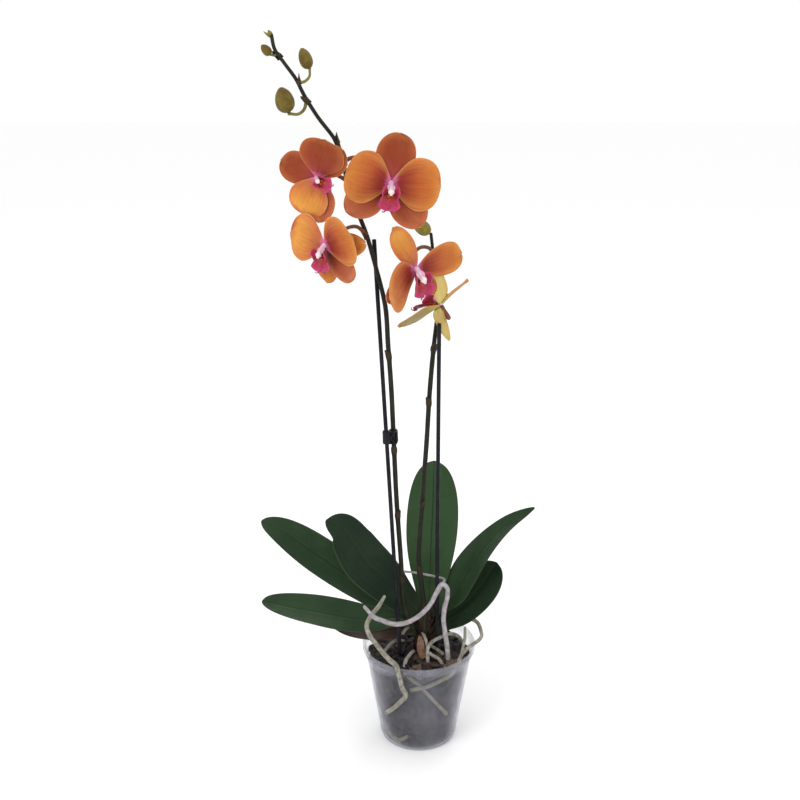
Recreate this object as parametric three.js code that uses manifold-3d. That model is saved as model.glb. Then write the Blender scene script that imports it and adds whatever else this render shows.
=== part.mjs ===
// A moth orchid in a clear nursery pot: two flower spikes tied to two support sticks,
// seven leaves around a short stem, aerial roots over a bark mix, five open flowers and four buds.
// Millimetres, +Z up, the front of the plant faces -Y. The origin is the centre of the pot's base.
import * as THREE from 'three';
import { mergeVertices } from 'three/addons/utils/BufferGeometryUtils.js';
import Module from 'manifold-3d';

const wasm = await Module();
wasm.setup();

const V = (x, y, z) => new THREE.Vector3(x, y, z);
const degrees = THREE.MathUtils.degToRad;

// ---- driving dimensions -------------------------------------------------------------------
const GAP = 0.35; // running gap between touching pieces

const POT_HEIGHT = 110;
const POT_BASE_RADIUS = 40;
const POT_SHOULDER_RADIUS = 56; // outer radius just under the rim
const POT_SHOULDER_HEIGHT = 98;
const POT_RIM_RADIUS = 60;
const POT_WALL = 1.2;
const POT_FLOOR = 1.6;
const DRAIN_HOLES = 8;
const DRAIN_RADIUS = 3;
const DRAIN_CIRCLE = 28;

const MIX_TOP = 97; // mean level of the bark mix
const MIX_DOME = 2;
const CHIP_COUNT = 12;

const CROWN = V(7, 6, 0); // axis of the short stem
const CROWN_BASE = 88;
const CROWN_TOP = 148;

const SPIKE_RADIUS = 2.5;
const PEDICEL_RADIUS = 1.7;
const STICK_RADIUS = 2.1;
const ROOT_RADIUS = 2.5;
const FINE_ROOT_RADIUS = 2;

const LEAF_THICKNESS = 2.2;
const TEPAL_THICKNESS = 0.8;
const TEPAL_START = 1; // where a tepal starts, from the flower's axis
const HUB = 9; // the inner part of a flower, which stays flat
const SEPAL_LAYER = -1.3;
const REAR_LAYER = -2.5; // a sepal that lies behind its neighbours
const PETAL_LAYER = 0;

// ---- finishes -----------------------------------------------------------------------------
const finish = (color, roughness) => new THREE.MeshStandardMaterial({ color, roughness, metalness: 0 });
const FINISHES = {
  plastic: finish(0xc9c9d4, 0.3),
  bark: finish(0x3a2a22, 0.9),
  stem: finish(0x4a4028, 0.7),
  sheath: finish(0xb98a66, 0.85),
  leaf: finish(0x2c4a2e, 0.45),
  oldLeaf: finish(0x5a3f34, 0.6),
  spike: finish(0x35382a, 0.55),
  stick: finish(0x101014, 0.5),
  clip: finish(0x0c0c10, 0.4),
  bud: finish(0x8f9045, 0.6),
  root: finish(0xbdb8b4, 0.8),
  wallRoot: finish(0xb5a98a, 0.8),
  sepal: finish(0xbf6236, 0.6),
  petal: finish(0xd0803c, 0.6),
  lip: finish(0xb3206e, 0.5),
};

const orchid = new THREE.Group();
orchid.name = 'potted_orchid';

function add(name, geometry, material) {
  const mesh = new THREE.Mesh(geometry, material);
  mesh.name = name;
  orchid.add(mesh);
}

// ---- solids -------------------------------------------------------------------------------
// A closed geometry with shared vertices and its faces pointing out.
function closed(geometry) {
  geometry.deleteAttribute('normal');
  geometry.deleteAttribute('uv');
  const merged = mergeVertices(geometry, 1e-4);
  const index = Array.from(merged.index.array);
  const at = merged.attributes.position;
  const faces = [];
  const [a, b, c] = [V(), V(), V()];
  let volume = 0;
  for (let i = 0; i < index.length; i += 3) {
    const [p, q, r] = index.slice(i, i + 3);
    if (p === q || q === r || r === p) continue;
    a.fromBufferAttribute(at, p);
    b.fromBufferAttribute(at, q);
    c.fromBufferAttribute(at, r);
    volume += a.dot(b.cross(c));
    faces.push([p, q, r]);
  }
  const outward = volume > 0 ? faces : faces.map(([p, q, r]) => [p, r, q]);
  merged.setIndex(outward.flat());
  return merged;
}

function toSolid(geometry) {
  const { index, attributes } = closed(geometry);
  const mesh = new wasm.Mesh({
    numProp: 3,
    vertProperties: new Float32Array(attributes.position.array),
    triVerts: new Uint32Array(index.array),
  });
  return new wasm.Manifold(mesh);
}

function toGeometry(solid) {
  const { vertProperties, triVerts } = solid.getMesh();
  const geometry = new THREE.BufferGeometry();
  geometry.setAttribute('position', new THREE.BufferAttribute(vertProperties, 3));
  geometry.setIndex(Array.from(triVerts));
  return geometry;
}

const joined = (geometries) => geometries.map(toSolid).reduce((whole, piece) => whole.add(piece));

// A round stem, stick or root along a smooth path.
function tube(points, radius, steps = 3 * (points.length - 1), sides = 6) {
  const corners = Array.from({ length: sides }, (_, i) => {
    const angle = (2 * Math.PI * i) / sides;
    return new THREE.Vector2(radius * Math.cos(angle), radius * Math.sin(angle));
  });
  const extrudePath = new THREE.CatmullRomCurve3(points);
  return new THREE.ExtrudeGeometry(new THREE.Shape(corners), { steps, extrudePath, bevelEnabled: false });
}

// A thin blade whose middle surface is surface(u, s): u runs from base to tip, s from edge to edge.
// The poles of a sphere become its two ends, and the sphere's two halves its two faces.
function blade(surface, thickness, along = 8, around = 8) {
  const geometry = new THREE.SphereGeometry(1, around, along);
  const position = geometry.attributes.position;
  const step = 1e-3;
  const p = V();
  for (let i = 0; i < position.count; i += 1) {
    p.fromBufferAttribute(position, i);
    const u = Math.acos(THREE.MathUtils.clamp(p.y, -1, 1)) / Math.PI;
    const ring = Math.hypot(p.x, p.z);
    const s = ring > 1e-6 ? p.x / ring : 0;
    const side = ring > 1e-6 ? p.z / ring : 0;
    const here = surface(u, s);
    const onward = surface(Math.min(u + step, 1), s).sub(surface(Math.max(u - step, 0), s));
    const across = surface(u, s + step).sub(surface(u, s - step));
    const normal = onward.cross(across).normalize();
    here.addScaledVector(normal, (side * thickness) / 2);
    position.setXYZ(i, here.x, here.y, here.z);
  }
  return closed(geometry);
}

// Half-width of a blade at u, as a share of its widest half-width.
function outline(u, base, peak, blunt) {
  const rise = base + (1 - base) * Math.sin((Math.PI / 2) * Math.min(1, u / peak));
  const fall = Math.max(0, (u - peak) / (1 - peak));
  return rise * (1 - fall ** blunt) ** (1 / blunt);
}

// A plump ellipsoid that narrows to its tip, from base to tip.
function budShape(base, tip, width) {
  const axis = tip.clone().sub(base);
  const length = axis.length();
  const geometry = new THREE.SphereGeometry(1, 8, 7);
  const position = geometry.attributes.position;
  for (let i = 0; i < position.count; i += 1) {
    const y = position.getY(i);
    const taper = (width / 2) * (1 - 0.22 * y);
    position.setXYZ(i, position.getX(i) * taper, ((y + 1) * length) / 2, position.getZ(i) * taper);
  }
  const turn = new THREE.Quaternion().setFromUnitVectors(V(0, 1, 0), axis.normalize());
  geometry.applyQuaternion(turn);
  geometry.translate(base.x, base.y, base.z);
  return geometry;
}

// ---- pot ----------------------------------------------------------------------------------
const potRadius = (z) => (
  POT_BASE_RADIUS + ((POT_SHOULDER_RADIUS - POT_BASE_RADIUS) * z) / POT_SHOULDER_HEIGHT
);

function potGeometry() {
  const inner = (z) => potRadius(z) - POT_WALL;
  const profile = [
    [0, 0],
    [POT_BASE_RADIUS - 3, 0],
    [potRadius(4), 4],
    [POT_SHOULDER_RADIUS, POT_SHOULDER_HEIGHT],
    [POT_SHOULDER_RADIUS + 1.6, POT_SHOULDER_HEIGHT + 1],
    [POT_SHOULDER_RADIUS + 2, POT_SHOULDER_HEIGHT + 5],
    [POT_RIM_RADIUS, POT_SHOULDER_HEIGHT + 6.5],
    [POT_RIM_RADIUS, POT_HEIGHT],
    [POT_RIM_RADIUS - 2.4, POT_HEIGHT],
    [POT_SHOULDER_RADIUS + 0.6, POT_SHOULDER_HEIGHT + 4],
    [inner(POT_SHOULDER_HEIGHT), POT_SHOULDER_HEIGHT],
    [inner(5), 5],
    [POT_BASE_RADIUS - 4, POT_FLOOR],
    [0, POT_FLOOR],
  ].map(([r, z]) => new THREE.Vector2(r, z));
  const shell = new THREE.LatheGeometry(profile, 28);
  shell.rotateX(Math.PI / 2);
  let pot = toSolid(shell);
  for (let i = 0; i < DRAIN_HOLES; i += 1) {
    const angle = (2 * Math.PI * (i + 0.5)) / DRAIN_HOLES;
    const hole = new THREE.CylinderGeometry(DRAIN_RADIUS, DRAIN_RADIUS, 4 * POT_FLOOR, 8);
    hole.rotateX(Math.PI / 2);
    hole.translate(DRAIN_CIRCLE * Math.cos(angle), DRAIN_CIRCLE * Math.sin(angle), 0);
    pot = pot.subtract(toSolid(hole));
  }
  return toGeometry(pot);
}

// ---- stems, sticks and roots: routes ------------------------------------------------------
const SPIKE_1 = [
  V(-1.6, -3.6, 112), V(-7, -7, 130), V(-12.5, -8, 144), V(-16.5, -7, 160), V(-19, -5, 206),
  V(-23.5, -4, 274), V(-26.5, -5, 344), V(-28.5, -6, 392), V(-31.5, -9, 438), V(-34, -12, 477),
  V(-42, -13, 512), V(-52, -14, 548), V(-62, -15, 574), V(-69, -16, 596), V(-72, -17, 616),
  V(-78, -18, 631), V(-94, -22, 653), V(-105, -24, 671), V(-112, -25, 685), V(-122, -27, 699),
  V(-129.5, -28, 710), V(-132, -28, 722),
];
const SPIKE_2 = [
  V(5, -7.6, 112), V(5.6, -7.4, 130), V(6, -5.5, 146), V(3, 2, 172), V(-0.5, 8, 202), V(1, 8, 235),
  V(3, 7, 269), V(5, 6, 303), V(7, 5, 336), V(9, 3, 379), V(11, 1, 410), V(13.5, 0, 440),
  V(16.5, 7, 466), V(18, 8, 484), V(14, 5, 508), V(11, -3, 530), V(9, -12, 546),
];
const STICK_1 = [V(-14.6, -15.6, 6), V(-27.4, -12, 235), V(-44.4, -7.2, 540)];
const STICK_2 = [V(19.6, -6, 6), V(18.4, -9, 230), V(17.6, -12, 460)];

const ROOT_ARCH = [
  V(-56, -42, 173), V(-46, -45, 163), V(-38, -41, 157), V(-28, -38, 151.5), V(-15, -34, 150),
  V(-1, -29, 155), V(11, -21, 164), V(18, -15, 175), V(24, -10, 182), V(29, -9, 177),
  V(29.5, -10, 168), V(26.5, -13, 156), V(25.5, -16, 144), V(27, -18, 131), V(29.5, -20, 114),
  V(31, -21, 94),
];
const ROOT_ARCH_BRANCH = [
  V(24.5, -9, 182), V(26.5, 3, 181), V(20, 14, 178), V(7, 18, 179), V(-5, 18.5, 181), V(-16, 16, 183.5),
];
const ROOT_OVER_RIM = [
  V(-36, -28, 177), V(-42, -32, 168), V(-50, -36, 159), V(-54, -41, 151), V(-51, -44, 142),
  V(-45, -45, 133), V(-39, -46, 125), V(-31, -50, 117), V(-24, -55, 113.4), V(-22, -60, 110),
  V(-20, -59.5, 100), V(-17.6, -56.6, 88), V(-14, -55.6, 78), V(-19, -52.6, 70), V(-25, -47.6, 60),
  V(-33.6, -40.2, 48),
];
const ROOT_SHORT = [V(-4, -8, 98), V(-6, -13, 104.5), V(-10, -22, 105.5), V(-14, -31, 104), V(-16, -37, 97)];
const ROOT_SIDE = [
  V(19, 3, 119), V(34, 8, 127), V(50, 10, 131), V(62, 8, 128), V(66, 2, 122), V(66.5, -4, 117),
  V(60.5, -11, 114.4), V(53, -18, 113.2), V(45, -23, 107), V(40, -25, 96),
];
const ROOT_SIDE_BRANCH = [V(49, -4, 128), V(48.4, -11, 119), V(46, -18, 111), V(44.6, -23, 106)];
const ROOT_RING = [
  V(9, -31, 96), V(9, -28, 105), V(9, -22, 113), V(13.6, -17, 118), V(23, -9.6, 119.6), V(33, 0, 118),
  V(42, 6, 112), V(47, 10, 102), V(48, 11, 95),
];
const ROOT_RING_BRANCH = [V(9.4, -24, 110), V(15, -25, 106.5), V(21, -28, 104), V(26, -31, 96)];

// Roots pressed against the inside of the clear wall: angle round the pot, height, and depth.
const onWall = (stops) => stops.map(([angle, z, depth]) => {
  const r = potRadius(z) - POT_WALL - GAP - FINE_ROOT_RADIUS - depth;
  return V(r * Math.cos(degrees(angle)), r * Math.sin(degrees(angle)), z);
});
const ROOT_WALL = onWall([[-43, 93, 1], [-52, 92, 0.3], [-65, 90, 0], [-80, 85.5, 0], [-99, 81, 0]]);
const ROOT_WALL_CROSS = onWall([[-107, 99, 2], [-99, 92, 3], [-90, 84, 4.8], [-72, 66, 1], [-48, 41, 0]]);
const ROOT_FOOT = onWall([[-157, 22, 0], [-145, 9, 1], [-125, 7.5, 1], [-109, 16, 0]]);

// ---- bark mix -----------------------------------------------------------------------------
function barkMixGeometry() {
  const fill = (z) => potRadius(z) - POT_WALL - GAP;
  const profile = [
    [0, POT_FLOOR + GAP], [POT_BASE_RADIUS - 4.6, POT_FLOOR + GAP], [fill(5.4), 5.4],
    [fill(MIX_TOP - 4), MIX_TOP - 4], [fill(MIX_TOP) - 3, MIX_TOP], [0, MIX_TOP + MIX_DOME],
  ].map(([r, z]) => new THREE.Vector2(r, z));
  const body = new THREE.LatheGeometry(profile, 20);
  body.rotateX(Math.PI / 2);
  let mix = toSolid(body);
  for (let i = 0; i < CHIP_COUNT; i += 1) {
    const angle = 2.4 * i;
    const reach = 46 * Math.sqrt((i + 0.5) / CHIP_COUNT);
    const chip = new THREE.IcosahedronGeometry(1, 0);
    chip.scale(9 + (i % 3) * 1.6, 5.4 + (i % 4), 3.4);
    chip.rotateX(0.3 * Math.sin(3 * i));
    chip.rotateZ(1.7 * i);
    chip.translate(reach * Math.cos(angle), reach * Math.sin(angle), MIX_TOP + 1.5);
    mix = mix.add(toSolid(chip));
  }
  const wider = (points, radius) => toSolid(tube(points, radius + GAP, 3 * (points.length - 1), 8));
  const passing = [
    wider(STICK_1, STICK_RADIUS + 0.2), wider(STICK_2, STICK_RADIUS + 0.2),
    wider(ROOT_ARCH, ROOT_RADIUS + 0.2), wider(ROOT_SHORT, FINE_ROOT_RADIUS + 0.3),
    wider(ROOT_SIDE, FINE_ROOT_RADIUS + 0.3), wider(ROOT_RING, FINE_ROOT_RADIUS + 0.3),
    wider(ROOT_SIDE_BRANCH, FINE_ROOT_RADIUS + 0.3), wider(ROOT_RING_BRANCH, FINE_ROOT_RADIUS + 0.3),
    wider(ROOT_WALL, FINE_ROOT_RADIUS + 0.3), wider(ROOT_WALL_CROSS, FINE_ROOT_RADIUS + 0.3),
    wider(ROOT_FOOT, FINE_ROOT_RADIUS + 0.3),
    toSolid(crownGeometry(GAP)), toSolid(sheathGeometry(2 * GAP)),
  ];
  for (const piece of passing) mix = mix.subtract(piece);
  const pieces = mix.decompose().sort((a, b) => b.volume() - a.volume());
  return toGeometry(pieces[0]);
}

// ---- stem, leaves -------------------------------------------------------------------------
function crownGeometry(extra = 0) {
  const profile = [
    [0, CROWN_BASE - extra], [7 + extra, CROWN_BASE - extra], [9.6 + extra, 98],
    [10 + extra, 124], [8 + extra, 138], [4.5 + extra, CROWN_TOP - 2], [0, CROWN_TOP + extra],
  ].map(([r, z]) => new THREE.Vector2(r, z));
  const crown = new THREE.LatheGeometry(profile, 10);
  crown.rotateX(Math.PI / 2);
  crown.translate(CROWN.x, CROWN.y, 0);
  return crown;
}

// A dry bract that stands in the mix in front of the stem.
function sheathGeometry(extra = 0) {
  const foot = V(6, -22, 93);
  const head = V(0, -14, 124);
  const rise = head.clone().sub(foot);
  return blade((u, s) => {
    const across = 4.6 * outline(u, 0.5, 0.4, 2) * s * (1 + extra / 4);
    return foot.clone().addScaledVector(rise, u).add(V(across, 1.6 * s * s - 1.2 * u, 0));
  }, 1.4 + 2 * extra, 6, 8);
}

// A leaf follows its spine, with its upper face turned towards `face`.
function leafGeometry({ spine, face, width, fold, peak, blunt }) {
  const path = new THREE.CatmullRomCurve3(spine);
  return blade((u, s) => {
    const centre = path.getPointAt(u);
    const ahead = path.getTangentAt(u);
    const sideways = ahead.clone().cross(face).normalize();
    const up = sideways.clone().cross(ahead);
    const half = (width / 2) * outline(u, 0.24, peak, blunt);
    const channel = fold * half * (s * s - 0.25);
    return centre.addScaledVector(sideways, half * s).addScaledVector(up, channel);
  }, LEAF_THICKNESS, 12, 8);
}

const LEAVES = {
  leaf_left_upper: {
    spine: [
      V(1, 14.4, 136), V(-14, 18, 138), V(-36, 24, 144), V(-62, 32, 159), V(-109, 47, 187), V(-149, 58, 211),
      V(-171, 63, 221),
    ],
    face: V(0.3, -0.7, 0.64), width: 43, fold: 0.22, peak: 0.58, blunt: 2,
  },
  leaf_left_middle: {
    spine: [
      V(-1.6, 8, 141), V(-11, 9, 150), V(-24, 10, 162), V(-42, 13, 180), V(-58, 17, 196), V(-70, 21, 213),
      V(-81, 25, 229), V(-98, 27, 237),
    ],
    face: V(0.25, -0.85, 0.5), width: 50, fold: 0.24, peak: 0.55, blunt: 1.9,
  },
  leaf_left_front: {
    spine: [V(-3.6, 6.4, 128), V(-20, 3, 135), V(-57, -16, 144.6), V(-113, -27, 161), V(-160, -35, 175)],
    face: V(0.1, -0.45, 0.89), width: 38, fold: 0.2, peak: 0.58, blunt: 2.3,
  },
  leaf_left_low: {
    spine: [V(-3.4, 7.6, 120), V(-20, 8, 119.4), V(-36, 4, 119.6), V(-53, -6, 123), V(-73, -14, 129), V(-87, -20, 136)],
    face: V(0.1, -0.4, 0.9), width: 24, fold: 0.2, peak: 0.5, blunt: 1.8,
  },
  leaf_back_upright: {
    spine: [V(11, 16, 141), V(12, 26, 165), V(13, 33, 200), V(15, 40, 248), V(16, 48, 296)],
    face: V(0, -0.97, 0.2), width: 55, fold: 0.2, peak: 0.6, blunt: 2.3,
  },
  leaf_right_long: {
    spine: [
      V(15, 9, 140), V(27, 10, 148), V(39, 12, 159), V(46, 14, 173), V(58, 17, 194), V(76, 20, 218), V(95, 23, 236),
      V(121, 25, 253),
    ],
    face: V(-0.55, -0.42, 0.7), width: 40, fold: 0.24, peak: 0.4, blunt: 1.45,
  },
  leaf_right_short: {
    spine: [V(17.6, 6.4, 124), V(30, 8, 133), V(48, 9, 147), V(68, 18, 166), V(83, 27, 188)],
    face: V(-0.35, -0.72, 0.6), width: 44, fold: 0.26, peak: 0.58, blunt: 2.3,
  },
};

// ---- flowers ------------------------------------------------------------------------------
// Each flower has a centre, the way it faces and the way its top points. `opening` is how far the
// tepals slope forward, `bowl` how much they curve forward, `scale` its size, and `lip` how much
// larger than that its lip is.
const FLOWERS = {
  upper_left: {
    centre: V(-93, -50, 602), face: V(-0.25, -0.95, -0.12), top: V(-0.92, 0, 0.39),
    scale: 0.84, opening: 0.05, bowl: 0.002,
    turns: {
      dorsal_sepal: { length: 41 },
      petal_left: { angle: -90 },
      petal_right: { width: 50 },
      sepal_right: { angle: 110, length: 42 },
      sepal_left: { angle: -116, width: 36 },
    },
  },
  upper_right: {
    centre: V(-28, -48, 596), face: V(0.1, -0.98, -0.14), top: V(0.15, 0, 0.98),
    scale: 1, lip: 1.12, opening: 0.03, bowl: 0.0012,
    turns: {
      petal_left: { width: 48 },
      petal_right: { length: 43, width: 48 },
      sepal_left: { angle: -129 },
      sepal_right: { angle: 135 },
    },
  },
  lower_left: {
    centre: V(-88, -50, 541), face: V(-0.5, -0.83, -0.22), top: V(0.05, 0, 1),
    scale: 0.86, lip: 1.25, opening: 0.06, bowl: 0.0015, back: REAR_LAYER,
    turns: {
      dorsal_sepal: { angle: 84, length: 43, width: 28, tilt: -0.5, layer: REAR_LAYER },
      petal_left: { angle: -70, length: 39, width: 56 },
      petal_right: { angle: 68, length: 42, width: 55 },
      sepal_left: { angle: 180, length: 40, width: 29, layer: REAR_LAYER },
      sepal_right: { angle: 134, length: 46, width: 32 },
    },
  },
  right: {
    centre: V(-5, -46, 519), face: V(0.5, -0.8, -0.33), top: V(-0.34, 0, 0.94),
    scale: 0.97, lip: 1.25, opening: 0.05, bowl: 0.0022,
    turns: {
      dorsal_sepal: { angle: -16, length: 51, width: 22, tilt: -0.4 },
      petal_left: { angle: -93, length: 41, width: 48, tilt: 0.7 },
      petal_right: { angle: 89, length: 45, width: 38, peak: 0.6 },
      sepal_left: { angle: -116, length: 40, width: 26 },
      sepal_right: { angle: 158, length: 32, width: 18, tilt: 0.25 },
    },
  },
  lower_right: {
    centre: V(18, -15, 480), face: V(-0.6, 0.36, 0.7), top: V(0.77, 0, 0.64),
    scale: 0.85, lip: 1.35, opening: 0.12, bowl: 0.002, back: REAR_LAYER,
    turns: {
      dorsal_sepal: { length: 40, width: 20, tilt: -0.2 },
      petal_left: { angle: -75, length: 24, width: 22, tilt: 0.2 },
      petal_right: { angle: 56, length: 40, width: 20, tilt: 0.9 },
      sepal_left: { angle: -128, length: 31, width: 15, tilt: -2.4, layer: REAR_LAYER },
      sepal_right: { angle: 155, length: 53, width: 42, tilt: -0.1 },
    },
  },
};

const TEPALS = {
  dorsal_sepal: { angle: 0, length: 45, width: 36, base: 0.2, peak: 0.55, blunt: 2.1, layer: SEPAL_LAYER },
  petal_left: { angle: -82, length: 41, width: 44, base: 0.16, peak: 0.56, blunt: 2.4, layer: PETAL_LAYER },
  petal_right: { angle: 82, length: 41, width: 44, base: 0.16, peak: 0.56, blunt: 2.4, layer: PETAL_LAYER },
  sepal_left: { angle: -132, length: 46, width: 33, base: 0.16, peak: 0.55, blunt: 2, layer: SEPAL_LAYER },
  sepal_right: { angle: 132, length: 46, width: 33, base: 0.16, peak: 0.55, blunt: 2, layer: SEPAL_LAYER },
};

// The middle of a flower's back, where its stalk meets the sepals.
function backOf(name) {
  const { centre, face, back = SEPAL_LAYER } = FLOWERS[name];
  return centre.clone().addScaledVector(face.clone().normalize(), back - TEPAL_THICKNESS / 2 - 2 * GAP);
}

// The side stalks of the flowers and buds on each spike.
const STALKS_1 = [
  [V(-51.5, -14, 546), V(-60, -20, 554), V(-72, -33, 553), backOf('lower_left')],
  [V(-69, -16, 596), V(-77, -22, 601), V(-88, -36, 607), backOf('upper_left')],
  [V(-71.6, -17, 613), V(-61, -22, 617), V(-40, -33, 610), backOf('upper_right')],
  [V(-103, -23.6, 668), V(-105.5, -25, 659), V(-111, -25, 655), V(-118.3, -24, 655.2)],
  [V(-110.6, -25, 683), V(-105, -26, 682.6), V(-100, -26, 687), V(-99.5, -26, 693)],
  [V(-127.4, -27.8, 706), V(-130, -28.2, 704.8), V(-132.1, -28.4, 705)],
];
const STALKS_2 = [
  [V(17, 7.4, 470), V(25, 4, 463), V(27, -10, 466), backOf('lower_right')],
  [V(12.8, 1.6, 518), V(8, -10, 532), V(-3, -27, 535), V(-10, -37, 526), backOf('right')],
];

// Right, top and face of a flower as unit vectors, right being the viewer's right.
function flowerAxes({ face, top }) {
  const forward = face.clone().normalize();
  const right = top.clone().cross(forward).normalize();
  return { forward, right, up: forward.clone().cross(right) };
}

const placeIn = (centre, { right, up, forward }, x, y, z) => (
  centre.clone().addScaledVector(right, x).addScaledVector(up, y).addScaledVector(forward, z)
);

function tepalGeometry(flower, tepal) {
  const axes = flowerAxes(flower);
  const angle = degrees(tepal.angle);
  return blade((u, s) => {
    const reach = TEPAL_START + flower.scale * tepal.length * u;
    const half = (flower.scale * tepal.width / 2) * outline(u, tepal.base, tepal.peak, tepal.blunt);
    const across = half * s;
    const beyond = Math.max(0, reach - HUB);
    const distance = Math.hypot(reach, across);
    const sloped = flower.opening * Math.max(0, distance - TEPAL_START) + flower.bowl * distance ** 2;
    const tilted = (tepal.tilt ?? 0) * beyond ** 2 / (beyond + 8);
    const x = reach * Math.sin(angle) + across * Math.cos(angle);
    const y = reach * Math.cos(angle) - across * Math.sin(angle);
    return placeIn(flower.centre, axes, x, y, tepal.layer + sloped + tilted);
  }, TEPAL_THICKNESS);
}

// The lip with its two side lobes, middle lobe and callus, joined to the column.
function lipGeometry(flower) {
  const axes = flowerAxes(flower);
  const size = flower.scale * (flower.lip ?? 1);
  const at = (x, y, z) => {
    const [across, rise] = [x * size, y * size];
    const sloped = flower.opening * Math.max(0, Math.hypot(across, rise) - 3);
    return placeIn(flower.centre, axes, across, rise, z * size + sloped + 0.9);
  };
  const column = tube([at(0, 0.6, 0), at(0, -1.2, 4.6), at(0, -4.4, 9.6)], 2.2 * size, 3);
  const foot = tube([at(0, -0.6, 0), at(0, -4.4, 2), at(0, -7, 3.6)], 1.7 * size, 3);
  const middle = blade((u, s) => {
    const half = 7.4 * outline(u, 0.3, 0.62, 2.2);
    return at(half * s, -5 - 14.5 * u, 3 + 7 * u - 3.4 * u * u + 2.4 * s * s * u);
  }, 1.2, 6, 8);
  const lobes = [-1, 1].map((hand) => blade((u, s) => {
    const half = 4.4 * outline(u, 0.4, 0.6, 2.2);
    return at(hand * (1 + 7 * u), -6 + half * s * 1.1 + 1.5 * u, 2.6 + 7.6 * u + 0.8 * s);
  }, 1.1, 5, 6));
  const callus = new THREE.IcosahedronGeometry(2.3 * size, 0);
  const seat = at(0, -7.6, 5.2);
  callus.translate(seat.x, seat.y, seat.z);
  return toGeometry(joined([column, foot, middle, ...lobes, callus]));
}

// ---- spikes with their side stalks --------------------------------------------------------
function spikeGeometry(route, split, stalks) {
  const lower = tube(route.slice(0, split + 1), SPIKE_RADIUS, 2 * split);
  const upper = tube(route.slice(split), PEDICEL_RADIUS + 0.2, 2 * (route.length - split));
  const branches = stalks.map((stalk) => tube(stalk, PEDICEL_RADIUS, 5));
  return toGeometry(joined([lower, upper, ...branches]));
}

// ---- clip ---------------------------------------------------------------------------------
// A moulded clip that holds the left spike to its stick.
function clipGeometry() {
  const block = new THREE.BoxGeometry(15, 9, 14);
  block.translate(-29.8, -7.7, 344);
  const grip = (route, radius) => toSolid(tube(route, radius + GAP, 24, 8));
  const held = toSolid(block)
    .subtract(grip(SPIKE_1.slice(4, 9), SPIKE_RADIUS + 0.25))
    .subtract(grip(STICK_1, STICK_RADIUS + 0.25));
  return toGeometry(held);
}

// ---- the whole plant ----------------------------------------------------------------------
add('pot', potGeometry(), FINISHES.plastic);
add('bark_mix', barkMixGeometry(), FINISHES.bark);
add('crown', closed(crownGeometry()), FINISHES.stem);
add('dry_bract', sheathGeometry(), FINISHES.sheath);
for (const [name, leaf] of Object.entries(LEAVES)) {
  add(name, leafGeometry(leaf), name === 'leaf_left_low' ? FINISHES.oldLeaf : FINISHES.leaf);
}
add('spike_left', spikeGeometry(SPIKE_1, 12, STALKS_1), FINISHES.spike);
add('spike_right', spikeGeometry(SPIKE_2, 12, STALKS_2), FINISHES.spike);
add('stick_left', closed(tube(STICK_1, STICK_RADIUS, 6, 8)), FINISHES.stick);
add('stick_right', closed(tube(STICK_2, STICK_RADIUS, 6, 8)), FINISHES.stick);
add('stick_clip', clipGeometry(), FINISHES.clip);

add('bud_large', closed(budShape(V(-119.6, -24, 656.2), V(-126, -24, 678), 17)), FINISHES.bud);
add('bud_upper', closed(budShape(V(-99.8, -26, 693.6), V(-106.4, -26, 711), 11.5)), FINISHES.bud);
add('bud_small', closed(budShape(V(-133, -28.4, 705.4), V(-141, -28.6, 713.4), 8)), FINISHES.bud);
add('bud_right', closed(budShape(V(7.6, -14.2, 547.4), V(-7.6, -20, 559.4), 13)), FINISHES.bud);

const root = (points, radius) => tube(points, radius, 2 * (points.length - 1));
const branched = (main, branch, radius, branchRadius) => (
  toGeometry(joined([root(main, radius), root(branch, branchRadius)]))
);
add('root_arch', branched(ROOT_ARCH, ROOT_ARCH_BRANCH, ROOT_RADIUS, 1.3), FINISHES.root);
add('root_over_rim', closed(root(ROOT_OVER_RIM, ROOT_RADIUS)), FINISHES.root);
add('root_short', closed(root(ROOT_SHORT, FINE_ROOT_RADIUS)), FINISHES.root);
add('root_side', branched(ROOT_SIDE, ROOT_SIDE_BRANCH, FINE_ROOT_RADIUS, 1.7), FINISHES.root);
add('root_ring', branched(ROOT_RING, ROOT_RING_BRANCH, FINE_ROOT_RADIUS, 1.8), FINISHES.root);
add('root_wall', closed(root(ROOT_WALL, FINE_ROOT_RADIUS)), FINISHES.wallRoot);
add('root_wall_cross', closed(root(ROOT_WALL_CROSS, FINE_ROOT_RADIUS)), FINISHES.wallRoot);
add('root_foot', closed(root(ROOT_FOOT, FINE_ROOT_RADIUS)), FINISHES.wallRoot);

for (const [name, flower] of Object.entries(FLOWERS)) {
  for (const [part, tepal] of Object.entries(TEPALS)) {
    const shape = { ...tepal, ...flower.turns[part] };
    add(`flower_${name}_${part}`, tepalGeometry(flower, shape), FINISHES[part.includes('sepal') ? 'sepal' : 'petal']);
  }
  add(`flower_${name}_lip`, lipGeometry(flower), FINISHES.lip);
}

export default orchid;
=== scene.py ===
"""A moth orchid in a clear nursery pot: fine meshes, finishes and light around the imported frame.

Routes are written in millimetres, as the part's drawings are, and `route` turns them into metres.
Everything else is in metres, +Z up, with the front of the plant facing -Y.
"""
import logging
import math
from collections.abc import Callable, Sequence
from dataclasses import dataclass, field
from enum import Enum

import bmesh
import bpy
import numpy as np
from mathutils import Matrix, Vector, noise


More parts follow.
